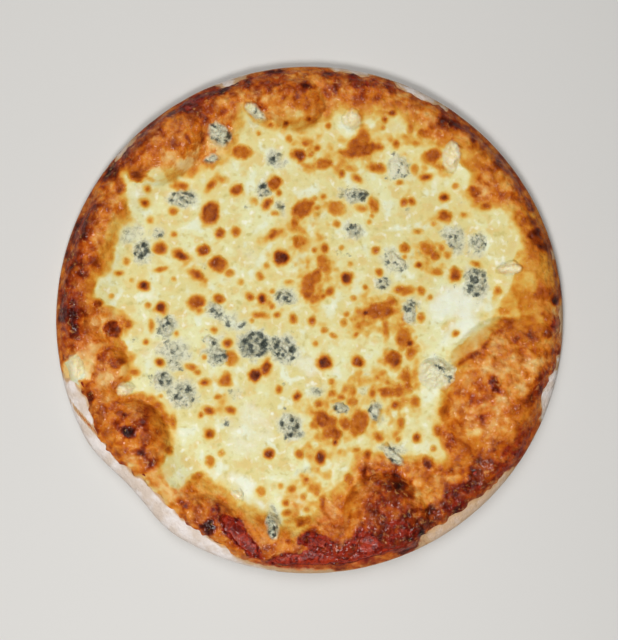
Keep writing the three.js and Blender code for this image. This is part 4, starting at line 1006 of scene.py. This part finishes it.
def mouldy_skin(m, body):
    """Adds mould to a cheese's colour: a milky grey bloom, veins in it and soft blue-black flecks."""
    mouldy = add(m, "Attribute", output="Fac", attribute_name="mouldy")
    flecked = add(m, "Attribute", output="Fac", attribute_name="flecked")
    skin = add(m, "MixRGB", [add(m, "MapRange", [mouldy, 0.0, 0.6], **SMOOTH), body, "#DDDCC2"])
    veins = add(m, "Math", [grain(m, 3, 3, 0.6, 0.6), 1.8, -0.9], operation="MULTIPLY_ADD")
    bloom = add(m, "Math", [mouldy, veins], operation="ADD")
    bloom = add(m, "MapRange", [bloom, 0.15, 0.85], **SMOOTH)
    bloom = add(m, "Math", [bloom, 0.75], operation="MULTIPLY")
    skin = add(m, "MixRGB", [bloom, skin, "#AAA686"])
    there = add(m, "Math", [mouldy, 0.55, flecked], operation="MULTIPLY_ADD")
    near = add(m, "MapRange", [there, 0.02, 0.3], **SMOOTH)
    uneven = add(m, "Math", [grain(m, 2.2, 2, 0.5, 0.5), 2.2, -1.1], operation="MULTIPLY_ADD")
    dark = add(m, "Math", [near, uneven, there], operation="MULTIPLY_ADD")
    skin = add(m, "MixRGB", [add(m, "MapRange", [dark, 0.15, 0.9], **SMOOTH), skin, "#7E8272"])
    return add(m, "MixRGB", [add(m, "MapRange", [dark, 0.6, 1.4], **SMOOTH), skin, "#3E443F"])


def creamy_skin(m):
    """Colour of pale melted cheese: ivory, with yellower and milkier places, small curds and pools."""
    broad, middling, fine = grain(m, 26, 3), grain(m, 10, 2), grain(m, 4, 2, 0.4)
    skin = "#E0D390"
    for pattern, low, high, code in [
        (broad, 0.4, 0.6, "#E5E2AC"), (middling, 0.5, 0.66, "#E1CA84"), (middling, 0.47, 0.33, "#E7EACA"),
        (fine, 0.54, 0.8, "#F6F4DC"), (fine, 0.46, 0.2, "#CEBF76"),
    ]:
        share = add(m, "MapRange", [pattern, low, high], **SMOOTH)
        skin = add(m, "MixRGB", [share, skin, code])
    milky = add(m, "Attribute", output="Fac", attribute_name="milky")
    pools = add(m, "Math", [grain(m, 5, 3), 0.5], operation="SUBTRACT")
    pools = add(m, "Math", [pools, 0.7, milky], operation="MULTIPLY_ADD")
    return add(m, "MixRGB", [add(m, "MapRange", [pools, 0.15, 1.1], **SMOOTH), skin, "#EDF1DE"])


def sheet_skin(m):
    """Colour of the melted sheet: creamy, mouldy, browned or reddened by the sauce."""
    browned = add(m, "Attribute", output="Fac", attribute_name="browned")
    red = add(m, "Attribute", output="Fac", attribute_name="red")
    baked = add(m, "MapRange", [browned, 0.1, 0.34], **SMOOTH)
    skin = add(m, "MixRGB", [baked, mouldy_skin(m, creamy_skin(m)), baked_skin(m)])
    pulp = add(m, "MapRange", [grain(m, 3, 4), 0.35, 0.65], **SMOOTH)
    reddened = add(m, "MixRGB", [pulp, "#9C2812", "#560C06"])
    soaked = add(m, "Math", [red, 1.2], operation="SUBTRACT")
    soaked = add(m, "Math", [grain(m, 5, 4, 0.6), 1.4, soaked], operation="MULTIPLY_ADD")
    return add(m, "MixRGB", [add(m, "MapRange", [soaked, 0.0, 0.5], **SMOOTH), skin, reddened])


def sheet_fields(x, y):
    """What the sheet's colour reads at each point. The lumps in it read the same at their edges."""
    milky = marked(x, y, MILKY_POOLS, -5, 6, 3 * lumps(x, y, 8, 52) + 1.5 * lumps(x, y, 3, 53))
    return {"browned": browning(x, y), "red": redness(x, y), "dry": dryness(x, y), "milky": milky,
            **mould_fields(x, y)}


# Melted and browned cheese: ivory to pale yellow and wet, going golden, orange-brown and charred where
# it blistered.
cheese_material = m = new_material("melted and browned cheese")
browned_share = add(m, "Attribute", output="Fac", attribute_name="browned")
dry_share = add(m, "Attribute", output="Fac", attribute_name="dry")
blisters = add(m, "Math", [cells(m, 4), -0.6, grain(m, 3, 2)], operation="MULTIPLY_ADD")
baked = add(m, "MapRange", [browned_share, 0.25, 0.55], **SMOOTH)
baked = add(m, "Math", [baked, 0.8, 0.2], operation="MULTIPLY_ADD")
height = add(m, "Math", [blisters, baked], operation="MULTIPLY")
oily = add(m, "Math", [dry_share, 0.2, 0.08], operation="MULTIPLY_ADD")
finish_material(m, {
    "Base Color": sheet_skin(m), "Roughness": 0.45, "Subsurface Weight": 0.1,
    "Subsurface Radius": (0.002, 0.0014, 0.0008), "Subsurface Scale": 1.0, "Specular IOR Level": 0.07,
}, height, 1.2, oily)

cheese_points, cheese_faces = closed_sheet(CHEESE_STEPS, cheese_edge, cheese_top, cheese_bottom)
x, y = cheese_points.T[:2]
make_piece("cheese_layer", cheese_points, cheese_faces, cheese_material, "melted_cheese",
           "melted_cheese", **sheet_fields(x, y))


# ---------------------------------------------------------------------------------------------------
# Blue cheese: crumbled by hand, half melted in. Ivory curd with grey-green veins and blue-black mould.
# Each crumb is a rough dome with the outline and height of its CAD lump, and sinks into the sheet.
# ---------------------------------------------------------------------------------------------------

LUMP_STEPS = 40
LUMP_SPREAD = 2
LUMP_ROOT = 0.8
SUNK = 0.25


def lump_piece(name, node, material, slot, clods, seed):
    """A rough lump whose outline and height are the CAD lump's. It rises softly out of the cheese."""
    middle, radius = outlines[node]
    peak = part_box(node)[1].z / MM
    height = peak - float(cheese_face(*middle[:, None])[0])

    def edge(angle):
        return np.interp(angle, WAYS, radius, period=2 * math.pi) + LUMP_SPREAD

    def top(x, y, inward):
        within = inside_lump(x, y, outlines[node]) + 1.1 * lumps(x, y, 4, seed + 2)
        within = within + 0.6 * lumps(x, y, 1.8, seed + 3)
        dome = rise(within, -1.4, 0.95 * radius.min())
        rough = clods * (0.3 * bubbles(x, y, 3.4, seed) + 0.2 * bubbles(x, y, 1.8, seed + 1) - 0.25)
        return cheese_face(x, y) - SUNK + (height * (0.88 + rough) + SUNK) * dome

    def bottom(x, y, inward):
        return cheese_face(x, y) - SUNK - LUMP_ROOT

    points, faces = closed_sheet(LUMP_STEPS, edge, top, bottom, middle)
    x, y = points.T[:2]
    buried = 1 - rise(inside_lump(x, y, outlines[node]) + 0.8 * lumps(x, y, 2.5, 56), -0.8, 2.2)
    return make_piece(name, points, faces, material, slot, node, buried=buried, **sheet_fields(x, y))


# Crumbly blue cheese: ivory curd, dull and slightly moist, with grey-green veins and blue-black specks.
blue_material = m = new_material("crumbly blue cheese")
crumbly = add(m, "MapRange", [grain(m, 3, 3), 0.3, 0.7], **SMOOTH)
curd = add(m, "MixRGB", [crumbly, "#E8E2C0", creamy_skin(m)])
buried = add(m, "Attribute", output="Fac", attribute_name="buried")
skin = add(m, "MixRGB", [buried, mouldy_skin(m, curd), sheet_skin(m)])
finish_material(m, {
    "Base Color": skin, "Roughness": 0.45, "Subsurface Weight": 0.3,
    "Subsurface Radius": (0.002, 0.0015, 0.001), "Subsurface Scale": 1.0, "Specular IOR Level": 0.15,
}, grain(m, 2, 3), 0.6, 0.12)

for number, node in enumerate(BLUE_LUMPS):
    lump_piece(f"blue_crumb_{number + 1:02d}", node, blue_material, "blue_cheese", 0.8, 100 + 7 * number)


# ---------------------------------------------------------------------------------------------------
# Soft cheese: six chunks of fresh white cheese, rounded and half melted, made as the crumbs are.
# They are creamier, smoother and warmer in colour.
# ---------------------------------------------------------------------------------------------------

# Soft white cheese: warm cream colour with a satin, slightly grainy face.
soft_material = m = new_material("soft white cheese")
grainy = add(m, "MapRange", [grain(m, 4, 3), 0.35, 0.65], **SMOOTH)
chunk = add(m, "MixRGB", [grainy, "#F5EAC6", "#EDDAA2"])
buried = add(m, "Attribute", output="Fac", attribute_name="buried")
skin = add(m, "MixRGB", [buried, chunk, sheet_skin(m)])
finish_material(m, {
    "Base Color": skin, "Roughness": 0.4, "Subsurface Weight": 0.3,
    "Subsurface Radius": (0.003, 0.002, 0.001), "Subsurface Scale": 1.0, "Specular IOR Level": 0.15,
}, grain(m, 2.4, 3), 0.7, 0.2)

for number, node in enumerate(SOFT_LUMPS):
    lump_piece(f"soft_chunk_{number + 1}", node, soft_material, "soft_cheese", 0.4, 400 + 7 * number)


# ---------------------------------------------------------------------------------------------------
# Studio: a plain pale floor under the pizza, two soft box lights and a camera. They only show the
# pizza as the photo does, from straight above, and aren't part of it.
# ---------------------------------------------------------------------------------------------------

bpy.ops.mesh.primitive_plane_add(size=4)
floor = bpy.context.object
floor.name = "studio_floor"
floor_material = new_material("pale studio floor")
finish_material(floor_material, {"Base Color": "#DAD8D4", "Roughness": 0.9})
floor.data.materials.append(floor_material)

world = bpy.data.worlds.new("soft studio")
world.use_nodes = True
world.node_tree.nodes["Background"].inputs["Color"].default_value = (1, 1, 1, 1)
world.node_tree.nodes["Background"].inputs["Strength"].default_value = 0.06
bpy.context.scene.world = world


def soft_box(name, place, size, power):
    """A square area light that faces the middle of the pizza."""
    data = bpy.data.lights.new(name, "AREA")
    data.size = size
    data.energy = power
    light = bpy.data.objects.new(name, data)
    light.location = place
    light.rotation_euler = light.location.to_track_quat("Z", "Y").to_euler()
    bpy.context.scene.collection.objects.link(light)


soft_box("key_light", (-0.12, -0.5, 1.0), 0.35, 8.2)
soft_box("fill_light", (-0.15, 0.55, 1.0), 0.8, 6.0)

# Straight above, with the outline at the size it has in the photo.
CAMERA_HEIGHT = 0.9
camera_data = bpy.data.cameras.new("camera")
camera_data.lens = 85
camera = bpy.data.objects.new("camera", camera_data)
camera.location = (-0.0003, 0, CAMERA_HEIGHT)
bpy.context.scene.collection.objects.link(camera)
bpy.context.scene.camera = camera
bpy.context.scene.view_settings.view_transform = "Standard"
